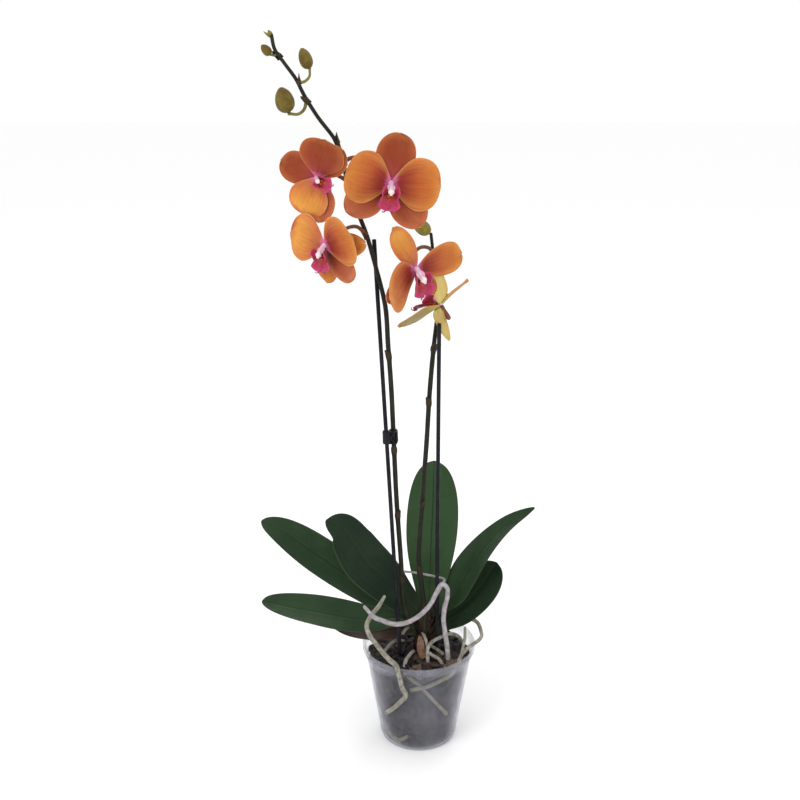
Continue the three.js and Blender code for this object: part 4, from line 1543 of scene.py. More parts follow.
SEPAL_LAYER, PETAL_LAYER, REAR_LAYER = -0.0013, 0.0, -0.0025
TEPALS: dict[str, Tepal] = {
    # The dorsal sepal takes the shaded copy: painted shade on the top tepal.
    "dorsal_sepal": Tepal(0, 0.045, 0.036, 0.2, 0.55, 2.1, SEPAL_LAYER, tone=Tone.SHADED_RUSSET),
    "petal_left": Tepal(-82, 0.041, 0.044, 0.16, 0.56, 2.4, PETAL_LAYER),
    "petal_right": Tepal(82, 0.041, 0.044, 0.16, 0.56, 2.4, PETAL_LAYER),
    "sepal_left": Tepal(-132, 0.046, 0.033, 0.16, 0.55, 2.0, SEPAL_LAYER, tone=Tone.CORAL),
    "sepal_right": Tepal(132, 0.046, 0.033, 0.16, 0.55, 2.0, SEPAL_LAYER, tone=Tone.CORAL),
}


@dataclass
class Flower:
    """One open flower: five tepals round a column, with a lobed lip.

    Attributes:
        name: Its place on the plant.
        centre: The middle of the flower, where the tepals meet.
        face: The way it faces.
        top: The way its top points.
        scale: Its size.
        opening: How far the tepals slope forward.
        bowl: How much they curve forward, per metre.
        turns: Changes to its tepals, by name.
        back_layer: How far back its rearmost tepals lie.
        lip_scale: How much larger its lip and column are than the flower's scale gives.
        start: Where the tepals start, from the flower's axis.
        hub: Where their own tilt starts.
        thickness: How thick they are.
    """

    name: str
    centre: Array
    face: Array
    top: Array
    scale: float
    opening: float
    bowl: float
    turns: dict[str, dict] = field(default_factory=dict)
    back_layer: float = SEPAL_LAYER
    lip_scale: float = 1.0
    start: float = 0.001
    hub: float = 0.009
    thickness: float = 0.0008

    def axes(self) -> tuple[Array, Array, Array]:
        """Return the flower's right, up and forward directions.

        Returns:
            The three unit vectors.
        """
        forward = unit(self.face)
        right = unit(np.cross(self.top, forward))
        return right, np.cross(forward, right), forward

    def put(self, x: Array, y: Array, z: Array) -> Array:
        """Return the points at x to the right, y up and z forward of the flower's middle.

        Args:
            x: Distances to the right.
            y: Distances up.
            z: Distances forward.

        Returns:
            The points, in metres.
        """
        right, up, forward = self.axes()
        x, y, z = np.broadcast_arrays(x, y, z)
        return self.centre + right * x[..., None] + up * y[..., None] + forward * z[..., None]

    def slope(self, distance: Array) -> Array:
        """Return how far forward the flower's bowl lies at a distance from its axis."""
        return self.opening * np.maximum(0, distance - self.start) + self.bowl * 1000 * distance**2

    def tepal_surface(self, tepal: Tepal, shift: float) -> Middle:
        """Return the middle surface of one tepal, with its own slight waves.

        Args:
            tepal: The tepal's shape.
            shift: Moves its pattern of waves.

        Returns:
            The surface, as a function of u and s.
        """
        angle = math.radians(tepal.angle)

        def surface(u: Array, s: Array) -> Array:
            """Return the points at u and s.

            Args:
                u: Shares of the way from base to tip.
                s: Shares of the half-width, -1 to 1.

            Returns:
                The points.
            """
            reach = self.start + self.scale * tepal.length * u
            half = self.scale * tepal.width / 2 * outline(u, tepal.base, tepal.peak, tepal.blunt)
            across = half * s
            beyond = np.maximum(0, reach - self.hub)
            forward = tepal.layer + self.slope(np.hypot(reach, across))
            forward = forward + tepal.tilt * beyond**2 / (beyond + 0.008)
            rim = np.abs(s) ** 3 * smooth(0.15, 0.6, u) + smooth(0.8, 1.0, u)
            forward = forward + 0.0009 * rim * np.sin(4.2 * s + 6.0 * u + shift)
            forward = forward - 0.0005 * np.exp(-(s / 0.09) ** 2) * smooth(0.95, 0.3, u)
            ribs = np.cos(34.0 * s + 0.8 * np.sin(9 * u + shift))
            forward = forward + 0.00007 * ribs * smooth(0.02, 0.2, u)
            x = reach * math.sin(angle) + across * math.cos(angle)
            y = reach * math.cos(angle) - across * math.sin(angle)
            return self.put(x, y, forward)

        return surface

    def tepals(self) -> dict[str, Tepal]:
        """Return this flower's own tepals by name."""
        return {name: tepal.changed(**self.turns.get(name, {})) for name, tepal in TEPALS.items()}

    def make_tepals(self) -> None:
        """Build and place the sepals and petals."""
        for index, (part, tepal) in enumerate(self.tepals().items()):
            builder = Builder()
            shift = 2.1 * index + 13.0 * float(self.centre[0] * 10)
            builder.blade(self.tepal_surface(tepal, shift), self.thickness, rows=56, ring=88)
            node = f"flower_{self.name}_{part}"
            place(builder.build(node + "_blade", [tepal.tone.value.material()]), node)

    def inner_scale(self) -> float:
        """Return the size of the lip and column, in metres for each millimetre at full size."""
        return self.scale * self.lip_scale * MM

    def inner(self, x: Array, y: Array, z: Array) -> Array:
        """Return points of the lip and column, in millimetres at full size, carried by the bowl.

        Args:
            x: Distances to the right.
            y: Distances up.
            z: Distances forward.

        Returns:
            The points, in metres.
        """
        x, y, z = (np.asarray(v, dtype=float) * self.inner_scale() for v in (x, y, z))
        carried = self.opening * np.maximum(0, np.hypot(x, y) - 0.003)
        return self.put(x, y, z + carried + 0.0009)

    def strand(self, builder: Builder, stops: Sequence[Sequence[float]], radii: Array, ring: int,
               finish: int = 0) -> None:
        """Add a rounded strand of the lip or column, in millimetres at full size.

        Args:
            builder: Takes the strand.
            stops: The points that it goes through: right, up and forward.
            radii: Its radii, evenly spaced along it.
            ring: Points round it.
            finish: Index of its finish.
        """
        through = np.stack([self.inner(*stop) for stop in stops])
        builder.tube(spaced(through, len(radii)), self.inner_scale() * radii, ring=ring, finish=finish)

    def column(self, builder: Builder) -> None:
        """Add the column with its rounded anther cap and its two wings.

        Args:
            builder: Takes the mesh.
        """
        radii = np.interp(np.linspace(0, 1, 20), [0, 0.25, 0.7, 1.0], [2.3, 1.9, 2.1, 2.2])
        self.strand(builder, ((0, 0.8, -0.6), (0, 0.2, 2.2), (0, -1.6, 5.6), (0, -4.2, 9)), radii, 20)
        cap = np.array([2.3, 2.55, 2.65, 2.6, 2.45, 2.2, 1.8, 1.3])
        self.strand(builder, ((0, -3.4, 8.2), (0, -4.4, 9.5), (0, -5.4, 10.4)), cap, 20, 1)
        for hand in (-1, 1):
            wing = ((hand * 1.2, 0.2, 1.2), (hand * 2.5, -1.4, 5.2), (hand * 1.7, -3.6, 7.8))
            self.strand(builder, wing, bulging(12, 0.7, 0.9, 0.5), 10)

    def lip(self, builder: Builder) -> None:
        """Add the lip: side lobes, middle lobe with its two tendrils, and callus.

        Args:
            builder: Takes the mesh.
        """

        def middle(u: Array, s: Array) -> Array:
            """Return the points of the middle lobe.

            Args:
                u: Shares of the way from base to tip.
                s: Shares of the half-width, -1 to 1.

            Returns:
                The points.
            """
            rise = 8.2 * (0.34 + 0.66 * np.sin(np.pi / 2 * np.minimum(1, u / 0.62)))
            fall = (1 - np.clip((u - 0.62) / 0.38, 0, 1) ** 2.6) ** 0.45
            half = rise * fall + 1.2 * np.exp(-((u - 0.7) / 0.12) ** 2)
            keel = 1.2 * np.exp(-(s / 0.2) ** 2) * smooth(0.0, 0.4, u) * smooth(1.0, 0.7, u)
            z = 3 + 7 * u - 3.4 * u * u + 2.6 * s * s * u + keel + 0.35 * np.sin(7 * s + 5 * u)
            return self.inner(half * s, -5 - 14.5 * u, z)

        builder.blade(middle, 0.9 * self.inner_scale(), rows=36, ring=48, finish=2)
        for hand in (-1, 1):
            def side(u: Array, s: Array, hand: int = hand) -> Array:
                """Return the points of one side lobe.

                Args:
                    u: Shares of the way from base to tip.
                    s: Shares of the half-width, -1 to 1.
                    hand: Minus one for the left lobe and one for the right.

                Returns:
                    The points.
                """
                half = 5.2 * outline(u, 0.35, 0.62, 2.4)
                x = hand * (1 + 8.2 * u - 2.2 * u**3 - 0.9 * s * s * u)
                z = 2.6 + 7.6 * u + 0.9 * s + 0.5 * np.sin(4 * s)
                return self.inner(x, -6 + half * s * 1.1 + 1.5 * u, z)

            builder.blade(side, 0.9 * self.inner_scale(), rows=26, ring=40, finish=2)
            bump = ((hand * 0.7, -6.4, 5.4), (hand * 1.5, -7.8, 6.6), (hand * 1.1, -9.4, 6.2))
            self.strand(builder, bump, bulging(10, 1.2, 1.6, 0.9), 14, 3)
            tendril = ((hand * 1.2, -18.2, 6.4), (hand * 2.6, -20.4, 7.0), (hand * 4.4, -20.8, 8.4),
                       (hand * 4.9, -19.4, 9.4))
            self.strand(builder, tendril, np.linspace(0.75, 0.25, 16), 8, 2)
        self.strand(builder, ((0, -0.4, 0.2), (0, -3.2, 2.0), (0, -6.4, 3.6)), np.full(12, 1.6), 14, 3)

    def make(self) -> None:
        """Build and place the whole flower."""
        self.make_tepals()
        builder = Builder()
        self.column(builder)
        self.lip(builder)
        skins = [finish.material() for finish in (COLUMN_SKIN, CAP_SKIN, LipFinish(), CALLUS_SKIN)]
        node = f"flower_{self.name}_lip"
        place(builder.build(node + "_column", skins), node)

    def back(self) -> Array:
        """Return the middle of the flower's back, where its stalk ends."""
        return self.centre + unit(self.face) * (self.back_layer - 0.0009)


# ---- buds, spikes, sticks -----------------------------------------------------------------------
@dataclass
class Bud:
    """A closed bud: three sepals folded over one another, with a seam between each two."""

    node: str
    base: Array
    tip: Array
    width: float
    skin: SkinFinish = BUD_SKIN

    def make(self) -> None:
        """Build and place the bud."""
        rows, ring = 48, 60
        t = (np.arange(rows) + 1) / (rows + 1)
        along = 0.5 - 0.5 * np.cos(np.pi * t)
        axis = self.tip - self.base
        forward = unit(axis)
        right = unit(np.cross(forward, np.array([0.0, 1.0, 0.2])))
        up = np.cross(forward, right)
        turn = np.linspace(0, 2 * np.pi, ring, endpoint=False)
        radius = self.width / 2 * np.sin(np.pi * t) * (1.13 - 0.34 * along)
        radius = radius * (1 - 0.12 * smooth(0.8, 1.0, along))
        seam = np.abs(np.cos(1.5 * (turn[None] + 0.7 * along[:, None])))
        lobes = 1 - 0.09 * np.exp(-((seam / 0.16) ** 2)) * np.sin(np.pi * along)[:, None] + 0.03 * seam
        keel = 0.025 * np.cos(3 * (turn[None] + 0.7 * along[:, None]))
        reach = radius[:, None] * (lobes + keel)
        spokes = right * np.cos(turn)[:, None] + up * np.sin(turn)[:, None]
        rings = (self.base + axis * along[:, None])[:, None] + spokes[None] * reach[..., None]
        builder = Builder()
        builder.rings(rings, (self.base, self.tip), along)
        place(builder.build(self.node + "_skin", [self.skin.material()]), self.node)


@dataclass
class Spike:
    """A flower spike: its tapering stem, swollen joints with bracts, and side stalks.

    Attributes:
        node: The CAD node that it stands in for.
        stops: The points that the stem goes through.
        joints: Heights of the joints, in metres, with the way each bract faces in degrees.
        stalks: Side stalks: their points, start and end radius, and whether they carry a bud.
        tip_buds: Tiny buds and bracts at the very end: base, tip and width of each.
    """

    node: str
    stops: Array
    joints: Sequence[tuple[float, float]]
    stalks: Sequence[tuple[Array, float, float, bool]]
    tip_buds: Sequence[tuple[Array, Array, float]] = ()
    radius: float = 0.0025
    top_radius: float = 0.0016
    thin_from: float = 0.5
    stalk_rows: int = 46

    def stem(self, builder: Builder) -> Array:
        """Add the stem and return its dense curve.

        Args:
            builder: Takes the mesh.

        Returns:
            The points of the curve.
        """
        dense = centripetal(self.stops)
        count = int(length_of(dense) / 0.0016)
        shares = np.linspace(0, 1, count)
        curve = evenly(dense, shares)
        radii = np.interp(shares, [0, self.thin_from, 0.8, 1],
                          [self.radius, self.radius * 0.97, 0.0019, self.top_radius])
        for z, _ in self.joints:
            nearest = np.argmin(np.abs(curve[:, 2] - z))
            away = np.linalg.norm(curve - curve[nearest], axis=1)
            radii = radii + 0.0006 * np.exp(-((away / 0.0035) ** 2))
        radii = radii * (1 + 0.04 * roughen(curve, 90.0))
        builder.tube(curve, radii, ring=20)
        return curve

    def bract(self, builder: Builder, curve: Array, z: float, facing: float) -> None:
        """Add the bract that clasps the stem at a joint.

        Args:
            builder: Takes the mesh.
            curve: The stem's curve.
            z: Height of the joint, in metres.
            facing: The way the bract faces, in degrees.
        """
        nearest = int(np.argmin(np.abs(curve[:, 2] - z)))
        spot = curve[nearest]
        ahead = unit(curve[min(nearest + 4, len(curve) - 1)] - curve[max(nearest - 4, 0)])
        way = np.array([math.cos(math.radians(facing)), math.sin(math.radians(facing)), 0.0])
        out = unit(way - ahead * way.dot(ahead))
        side = np.cross(ahead, out)

        def surface(u: Array, s: Array) -> Array:
            """Return the points of the bract.

            Args:
                u: Shares of the way from base to tip.
                s: Shares of the half-width, -1 to 1.

            Returns:
                The points.
            """
            angle = s * 2.1 * (1 - u) ** 0.8
            reach = self.radius + 0.0005 + 0.0016 * u**2
            rise = -0.001 + 0.0095 * u
            around = out * (reach * np.cos(angle))[..., None] + side * (reach * np.sin(angle))[..., None]
            return spot + around + ahead * rise[..., None]

        builder.blade(surface, 0.0006, rows=24, ring=32, finish=1)

    def make(self) -> None:
        """Build and place the spike with its side stalks."""
        builder = Builder()
        curve = self.stem(builder)
        for z, facing in self.joints:
            self.bract(builder, curve, z, facing)
        for index, (stops, wide, narrow, bears_bud) in enumerate(self.stalks):
            stalk = spaced(stops, self.stalk_rows)
            shares = np.linspace(0, 1, self.stalk_rows)
            radii = np.interp(shares, [0, 0.15, 0.9, 1], [wide * 1.25, wide, narrow, narrow * 1.25])
            radii = radii * (1 + 0.05 * roughen(stalk, 120.0, index))
            builder.tube(stalk, radii, ring=16, finish=3 if bears_bud else 2)
            self.bract(builder, curve, float(stops[0][2]) - 0.003, 200.0 + 130.0 * index)
        for base, tip, width in self.tip_buds:
            shares = np.linspace(0, 1, 14)
            bud = base + (tip - base) * shares[:, None]
            builder.tube(bud, width / 2 * np.sin(np.pi * (0.14 + 0.8 * shares)), ring=14, finish=3)
        skins = [skin.material() for skin in (SPIKE_SKIN, BRACT_SKIN, STALK_SKIN, BUD_STALK_SKIN)]
        place(builder.build(self.node + "_stem", skins), self.node)


@dataclass
class Stick:
    """A moulded support stick with a pointed foot and a blunt top."""

    node: str
    stops: Array
    radius: float = 0.0021

    def make(self) -> None:
        """Build and place the stick."""
        rows, ring = 160, 24
        curve = spaced(self.stops, rows)
        turn = np.linspace(0, 2 * np.pi, ring, endpoint=False)
        seams = -0.00012 * np.exp(-((np.abs(np.sin(turn)) / 0.12) ** 2))
        radii = self.radius * np.interp(np.linspace(0, 1, rows), [0, 0.012, 1], [0.45, 1, 1])
        builder = Builder()
        builder.tube(curve, radii, ring=ring, bumps=np.tile(seams, (rows, 1)), rounded=0.3)
        finish = MouldedFinish("stick_plastic", (0.006, 0.006, 0.009), (0.013, 0.013, 0.018))
        place(builder.build(self.node + "_rod", [finish.material()]), self.node)


@dataclass
class Clip:
    """The moulded clip: barrels round the stick and the spike, crossed ribs and a thumb grip."""

    centre: Array = field(default_factory=lambda: point_at(-29.8, -7.7, 344))
    stick_axis: tuple[float, float] = (-0.0034, -0.0022)
    spike_axis: tuple[float, float] = (0.0034, 0.0026)
    front: float = -0.0040
    barrel_sides: int = 28

    def block(self, shape: bmesh.types.BMesh, size: Sequence[float], spot: Sequence[float],
              lean: float = 0.0, soften: float = 0.0006) -> None:
        """Add a bevelled block.

        Args:
            shape: Takes the block.
            size: Its three sizes.
            spot: Its middle, from the clip's own middle.
            lean: How far it is turned about Y, in radians.
            soften: Width of the bevel.
        """
        made = bmesh.ops.create_cube(shape, size=1.0)["verts"]
        cos, sin = math.cos(lean), math.sin(lean)
        for vert in made:
            x, y, z = (vert.co[i] * size[i] for i in range(3))
            vert.co = Vector((x * cos + z * sin + spot[0], y + spot[1], -x * sin + z * cos + spot[2]))
        edges = {edge for vert in made for edge in vert.link_edges}
        bmesh.ops.bevel(shape, geom=list(edges), offset=soften, segments=2, affect="EDGES", profile=0.5)

    def barrel(self, shape: bmesh.types.BMesh, x: float, y: float, radius: float, lean: float) -> None:
        """Add a thick ring round a stem, open at both ends.

        Args:
            shape: Takes the ring.
            x: Its axis, from the clip's own middle.
            y: Its axis, from the clip's own middle.
            radius: Radius of the stem that it holds.
            lean: How far the axis leans to the right, for each unit up.
        """
        rows = [(radius + 0.0016, -0.0062), (radius + 0.002, -0.0056), (radius + 0.002, 0.0056),
                (radius + 0.0016, 0.0062), (radius + 0.0004, 0.0062), (radius + 0.0004, -0.0062)]
        turn = np.linspace(0, 2 * math.pi, self.barrel_sides, endpoint=False)
        rings = []
        for reach, z in rows:
            rings.append([shape.verts.new((x + reach * math.cos(a) + lean * z, y + reach * math.sin(a), z))
                          for a in turn])
        for low, high in zip(rings, rings[1:] + rings[:1]):
            for j in range(self.barrel_sides):
                k = (j + 1) % self.barrel_sides
                shape.faces.new((low[j], low[k], high[k], high[j]))

    def make(self) -> None:
        """Build and place the clip."""
        shape = bmesh.new()
        self.barrel(shape, *self.stick_axis, 0.0021, -0.055)
        self.barrel(shape, *self.spike_axis, 0.0025, -0.05)
        self.block(shape, (0.0042, 0.0052, 0.0118), (0.0, 0.0002, 0.0))
        for lean in (0.72, -0.72):
            self.block(shape, (0.0014, 0.0012, 0.0165), (0.0, self.front, 0.0), lean, 0.0004)
        for z in (-0.0062, 0.0062):
            self.block(shape, (0.0138, 0.0022, 0.0013), (0.0, self.front + 0.0006, z), 0.0, 0.0004)
        for x in (-0.0068, 0.0068):
            self.block(shape, (0.0014, 0.0062, 0.0118), (x, -0.0006, 0.0), 0.0, 0.0004)
        bmesh.ops.recalc_face_normals(shape, faces=shape.faces)
        bmesh.ops.translate(shape, verts=shape.verts, vec=Vector(self.centre))
        mesh = bpy.data.meshes.new("stick_clip_moulding")
        shape.to_mesh(mesh)
        shape.free()
        mesh.uv_layers.new(name="blade")
        finish = MouldedFinish("clip_plastic", (0.006, 0.006, 0.008), (0.014, 0.014, 0.018), (0.25, 0.4))
        mesh.materials.append(finish.material())
        place(stand("stick_clip_moulding", mesh), "stick_clip")


# ---- the studio ---------------------------------------------------------------------------------
@dataclass
class Studio:
    """The pale floor, the soft lights and the camera."""

    camera_at: tuple[float, float, float] = (-0.020, -1.010, 0.700)
    camera_pitch: float = 17.6
    lens: float = 48.06
    sensor: float = 36.0

    def camera(self) -> None:
        """Set up the camera."""
        data = bpy.data.cameras.new("camera")
        data.lens, data.sensor_width = self.lens, self.sensor
        data.clip_end = 50.0
        camera = stand("camera", data)
        camera.location = self.camera_at
        camera.rotation_euler = (math.radians(90 - self.camera_pitch), 0.0, 0.0)
        bpy.context.scene.camera = camera

    def floor(self) -> None:
        """Lay the pale floor."""
        mesh = bpy.data.meshes.new("studio_floor")
        size = 12.0
        corners = [(-size, -size, 0), (size, -size, 0), (size, size, 0), (-size, size, 0)]
        mesh.from_pydata(corners, [], [(0, 1, 2, 3)])
        material = bpy.data.materials.new("studio_floor")
        material.use_nodes = True
        shader = material.node_tree.nodes["Principled BSDF"]
        shader.inputs["Base Color"].default_value = (0.985, 0.985, 0.99, 1.0)
        shader.inputs["Roughness"].default_value = 0.9
        mesh.materials.append(material)
        stand("studio_floor", mesh)

    def light(self, name: str, spot: Sequence[float], size: float, power: float,
              aim: Sequence[float]) -> None:
        """Hang one soft light and aim it.

        Args:
            name: The light's name.
            spot: Where it hangs.
            size: Its width.
            power: Its power in watts.
            aim: The point that it is aimed at.
        """
        data = bpy.data.lights.new(name, "AREA")
        data.shape, data.size, data.energy = "DISK", size, power
        lamp = stand(name, data)
        lamp.location = spot
        lamp.rotation_euler = (Vector(aim) - Vector(spot)).to_track_quat("-Z", "Y").to_euler()

    def make(self) -> None:
        """Set up the whole studio."""
        self.camera()
        self.floor()
        self.light("key_light", (-1.1, -1.3, 1.9), 1.1, 15.0, (0.0, 0.0, 0.35))
        self.light("fill_light", (1.5, -1.0, 1.0), 1.4, 3.0, (0.0, 0.0, 0.35))
        self.light("rim_light", (0.7, 1.5, 1.7), 1.0, 6.0, (0.0, 0.0, 0.4))
        world = bpy.data.worlds.new("studio_world")
        world.use_nodes = True
        sky = world.node_tree.nodes["Background"]
        sky.inputs[0].default_value = (1.0, 1.0, 1.0, 1.0)
        sky.inputs[1].default_value = 1.0
        bpy.context.scene.world = world
        bpy.context.scene.view_settings.view_transform = "Standard"


# ---- the plant ----------------------------------------------------------------------------------
@dataclass
class Plant:
    """Everything that grows in the pot, with where each piece lies."""

    wall_routes: Sequence[Array]
    flowers: dict[str, Flower] = field(default_factory=dict)

    def make_leaves(self) -> None:
        """Build the crown, the dry bract and the seven leaves."""
        Crown().make()
        DryBract().make()
        green = LeafFinish()
        light_green = LeafFinish("leaf_green_light", (0.026, 0.06, 0.022), (0.034, 0.074, 0.028))
        deep_green = LeafFinish("leaf_green_deep", (0.007, 0.018, 0.009), (0.012, 0.026, 0.012))
        old = LeafFinish("leaf_old_red", (0.05, 0.028, 0.02), (0.08, 0.04, 0.03), (0.14, 0.08, 0.07),
                         (0.1, 0.05, 0.04))
        leaves = (
            Leaf("leaf_left_upper", route((1, 14.4, 136), (-14, 18, 138), (-36, 24, 144), (-62, 32, 159),
                                          (-109, 47, 187), (-149, 58, 211), (-171, 63, 221)),
                 np.array([0.3, -0.7, 0.64]), 0.043, 0.22, 0.4, green, blunt=2.0),
            Leaf("leaf_left_middle", route((-1.6, 8, 141), (-11, 9, 150), (-24, 10, 162), (-42, 13, 180),
                                           (-58, 17, 196), (-70, 21, 213), (-81, 25, 229), (-98, 27, 237)),
                 np.array([0.25, -0.85, 0.5]), 0.05, 0.24, 1.7, deep_green, peak=0.55, blunt=1.9),
            Leaf("leaf_left_front", route((-3.6, 6.4, 128), (-20, 3, 135), (-57, -16, 144.6),
                                          (-113, -27, 161), (-160, -35, 175)),
                 np.array([0.1, -0.45, 0.89]), 0.038, 0.2, 2.6, green),
            Leaf("leaf_left_low", route((-3.4, 7.6, 120), (-20, 8, 119.4), (-36, 4, 119.6), (-53, -6, 123),
                                        (-73, -14, 129), (-87, -20, 136)),
                 np.array([0.1, -0.4, 0.9]), 0.024, 0.2, 3.9, old, "leaf_old", peak=0.5, blunt=1.8),
            Leaf("leaf_back_upright", route((11, 16, 141), (12, 26, 165), (13, 33, 200), (15, 40, 248),
                                            (16, 48, 296)),
                 np.array([0.0, -0.97, 0.2]), 0.055, 0.2, 5.0, light_green, peak=0.6),
            Leaf("leaf_right_long", route((15, 9, 140), (27, 10, 148), (39, 12, 159), (46, 14, 173),
                                          (58, 17, 194), (76, 20, 218), (95, 23, 236), (121, 25, 253)),
                 np.array([-0.55, -0.42, 0.7]), 0.04, 0.24, 0.9, green, peak=0.4, blunt=1.45),
            Leaf("leaf_right_short", route((17.6, 6.4, 124), (30, 8, 133), (48, 9, 147), (68, 18, 166),
                                           (83, 27, 188)),
                 np.array([-0.35, -0.72, 0.6]), 0.044, 0.26, 3.1, deep_green),
        )
        for leaf in leaves:
            leaf.make()

    def make_roots(self) -> None:
        """Build the roots above the mix and those against the clear wall."""
        thick, fine = 0.0025, 0.002
        arch = route((-56, -42, 173), (-46, -45, 163), (-38, -41, 157), (-28, -38, 151.5), (-15, -34, 150),
                     (-1, -29, 155), (11, -21, 164), (18, -15, 175), (24, -10, 182), (29, -9, 177),
                     (29.5, -10, 168), (26.5, -13, 156), (25.5, -16, 144), (27, -18, 131), (29.5, -20, 114),
                     (31, -21, 94))
        arch_branch = route((24.5, -9, 182), (26.5, 3, 181), (20, 14, 178), (7, 18, 179), (-5, 18.5, 181),
                            (-16, 16, 183.5))
        over_rim = route((-36, -28, 177), (-42, -32, 168), (-50, -36, 159), (-54, -41, 151),
                         (-51, -44, 142), (-45, -45, 133), (-39, -46, 125), (-31, -50, 117),
                         (-24, -55, 113.4), (-22, -60, 110), (-20, -59.5, 100), (-17.6, -56.6, 88),
                         (-14, -55.6, 78), (-19, -52.6, 70), (-25, -47.6, 60), (-33.6, -40.2, 48))
        short = route((-4, -8, 98), (-6, -13, 104.5), (-10, -22, 105.5), (-14, -31, 104), (-16, -37, 97))
        side = route((19, 3, 119), (34, 8, 127), (50, 10, 131), (62, 8, 128), (66, 2, 122), (66.5, -4, 117),
                     (60.5, -11, 114.4), (53, -18, 113.2), (45, -23, 107), (40, -25, 96))
        side_branch = route((49, -4, 128), (48.4, -11, 119), (46, -18, 111), (44.6, -23, 106))
        ring = route((9, -31, 96), (9, -28, 105), (9, -22, 113), (13.6, -17, 118), (23, -9.6, 119.6),
                     (33, 0, 118), (42, 6, 112), (47, 10, 102), (48, 11, 95))
        ring_branch = route((9.4, -24, 110), (15, -25, 106.5), (21, -28, 104), (26, -31, 96))
        wall, cross, foot = self.wall_routes
        roots = (
            Root("root_arch", [(arch, thick), (arch_branch, 0.0013)], PALE_ROOT_SKIN),
            Root("root_over_rim", [(over_rim, thick)], ROOT_SKIN),
            Root("root_short", [(short, fine)], ROOT_SKIN),
            Root("root_side", [(side, fine), (side_branch, 0.0017)], ROOT_SKIN),
            Root("root_ring", [(ring, fine), (ring_branch, 0.0018)], ROOT_SKIN),
            Root("root_wall", [(wall, fine)], WALL_ROOT_SKIN, "wall_root"),
            Root("root_wall_cross", [(cross, fine)], WALL_ROOT_SKIN, "wall_root"),
            Root("root_foot", [(foot, fine)], WALL_ROOT_SKIN, "wall_root"),
        )
        for root in roots:
            root.make()

    def make_flowers(self) -> None:
        """Build the five open flowers."""
        # Tones by key: the lit copy paints light on tepals that face up, the shaded copy paints shade on
        # those that lean forward.
        lit_golden, orange, coral, shaded_russet, pale, olive = ({"tone": tone} for tone in Tone)
        flowers = (
            Flower("upper_left", point_at(-93, -50, 602), np.array([-0.25, -0.95, -0.12]),
                   np.array([-0.92, 0, 0.39]), 0.84, 0.05, 0.002,
                   {"dorsal_sepal": {"length": 0.041}, "petal_right": {"width": 0.05, **shaded_russet},
                    "petal_left": {"angle": -90, **lit_golden},
                    "sepal_right": {"angle": 110, "length": 0.042, **shaded_russet},
                    "sepal_left": {"angle": -116, "width": 0.036, **coral}}),
            Flower("upper_right", point_at(-28, -48, 596), np.array([0.1, -0.98, -0.14]),
                   np.array([0.15, 0, 0.98]), 1.0, 0.03, 0.0012,
                   {"petal_left": {"width": 0.048}, "petal_right": {"length": 0.043, "width": 0.048},
                    "sepal_left": {"angle": -129, **coral}, "sepal_right": {"angle": 135, **coral}},
                   lip_scale=1.12),
            Flower("lower_left", point_at(-88, -50, 541), np.array([-0.5, -0.83, -0.22]),
                   np.array([0.05, 0, 1]), 0.86, 0.06, 0.0015,
                   {"dorsal_sepal": {"angle": 84, "length": 0.043, "width": 0.028, "tilt": -0.5,
                                     "layer": REAR_LAYER, **orange},
                    "petal_left": {"angle": -70, "length": 0.039, "width": 0.056, **lit_golden},
                    "petal_right": {"angle": 68, "length": 0.042, "width": 0.055},
                    "sepal_left": {"angle": 180, "length": 0.04, "width": 0.029, "layer": REAR_LAYER,
                                   **orange},
                    "sepal_right": {"angle": 134, "length": 0.046, "width": 0.032}},
                   REAR_LAYER, 1.25),
            Flower("right", point_at(-5, -46, 519), np.array([0.5, -0.8, -0.33]),
                   np.array([-0.34, 0, 0.94]), 0.97, 0.05, 0.0022,
                   {"dorsal_sepal": {"angle": -16, "length": 0.051, "width": 0.022, "tilt": -0.4, **lit_golden},
                    "petal_left": {"angle": -93, "length": 0.041, "width": 0.048, "tilt": 0.7},
                    "petal_right": {"angle": 89, "length": 0.045, "width": 0.038, "peak": 0.6},
                    "sepal_left": {"angle": -116, "length": 0.04, "width": 0.026},
                    "sepal_right": {"angle": 158, "length": 0.032, "width": 0.018, "tilt": 0.25, **coral}},
                   lip_scale=1.25),
            Flower("lower_right", point_at(18, -15, 480), np.array([-0.6, 0.36, 0.7]),
                   np.array([0.77, 0, 0.64]), 0.85, 0.12, 0.002,
                   {"dorsal_sepal": {"length": 0.04, "width": 0.02, "tilt": -0.2, **orange},
                    "petal_left": {"angle": -75, "length": 0.024, "width": 0.022, "tilt": 0.2},
                    "petal_right": {"angle": 56, "length": 0.04, "width": 0.02, "tilt": 0.9, **pale},
                    "sepal_left": {"angle": -128, "length": 0.031, "width": 0.015, "tilt": -2.4,
                                   "layer": REAR_LAYER, **pale},
                    "sepal_right": {"angle": 155, "length": 0.053, "width": 0.042, "tilt": -0.1, **olive}},
                   REAR_LAYER, 1.35),
        )
        for flower in flowers:
            flower.make()
            self.flowers[flower.name] = flower

    def make_spikes(self) -> None:
        """Build the two spikes with their side stalks, and the buds."""
        left = route((-1.6, -3.6, 112), (-7, -7, 130), (-12.5, -8, 144), (-16.5, -7, 160), (-19, -5, 206),
                     (-23.5, -4, 274), (-26.5, -5, 344), (-28.5, -6, 392), (-31.5, -9, 438),
                     (-34, -12, 477), (-42, -13, 512), (-52, -14, 548), (-62, -15, 574), (-69, -16, 596),
                     (-72, -17, 616), (-78, -18, 631), (-94, -22, 653), (-105, -24, 671), (-112, -25, 685),
                     (-122, -27, 699), (-129.5, -28, 710), (-132, -28, 722))
        right = route((5, -7.6, 112), (5.6, -7.4, 130), (6, -5.5, 146), (3, 2, 172), (-0.5, 8, 202),
                      (1, 8, 235), (3, 7, 269), (5, 6, 303), (7, 5, 336), (9, 3, 379), (11, 1, 410),
                      (13.5, 0, 440), (16.5, 7, 466), (18, 8, 484), (14, 5, 508), (11, -3, 530),
                      (9, -12, 546))
        back = {name: flower.back() for name, flower in self.flowers.items()}

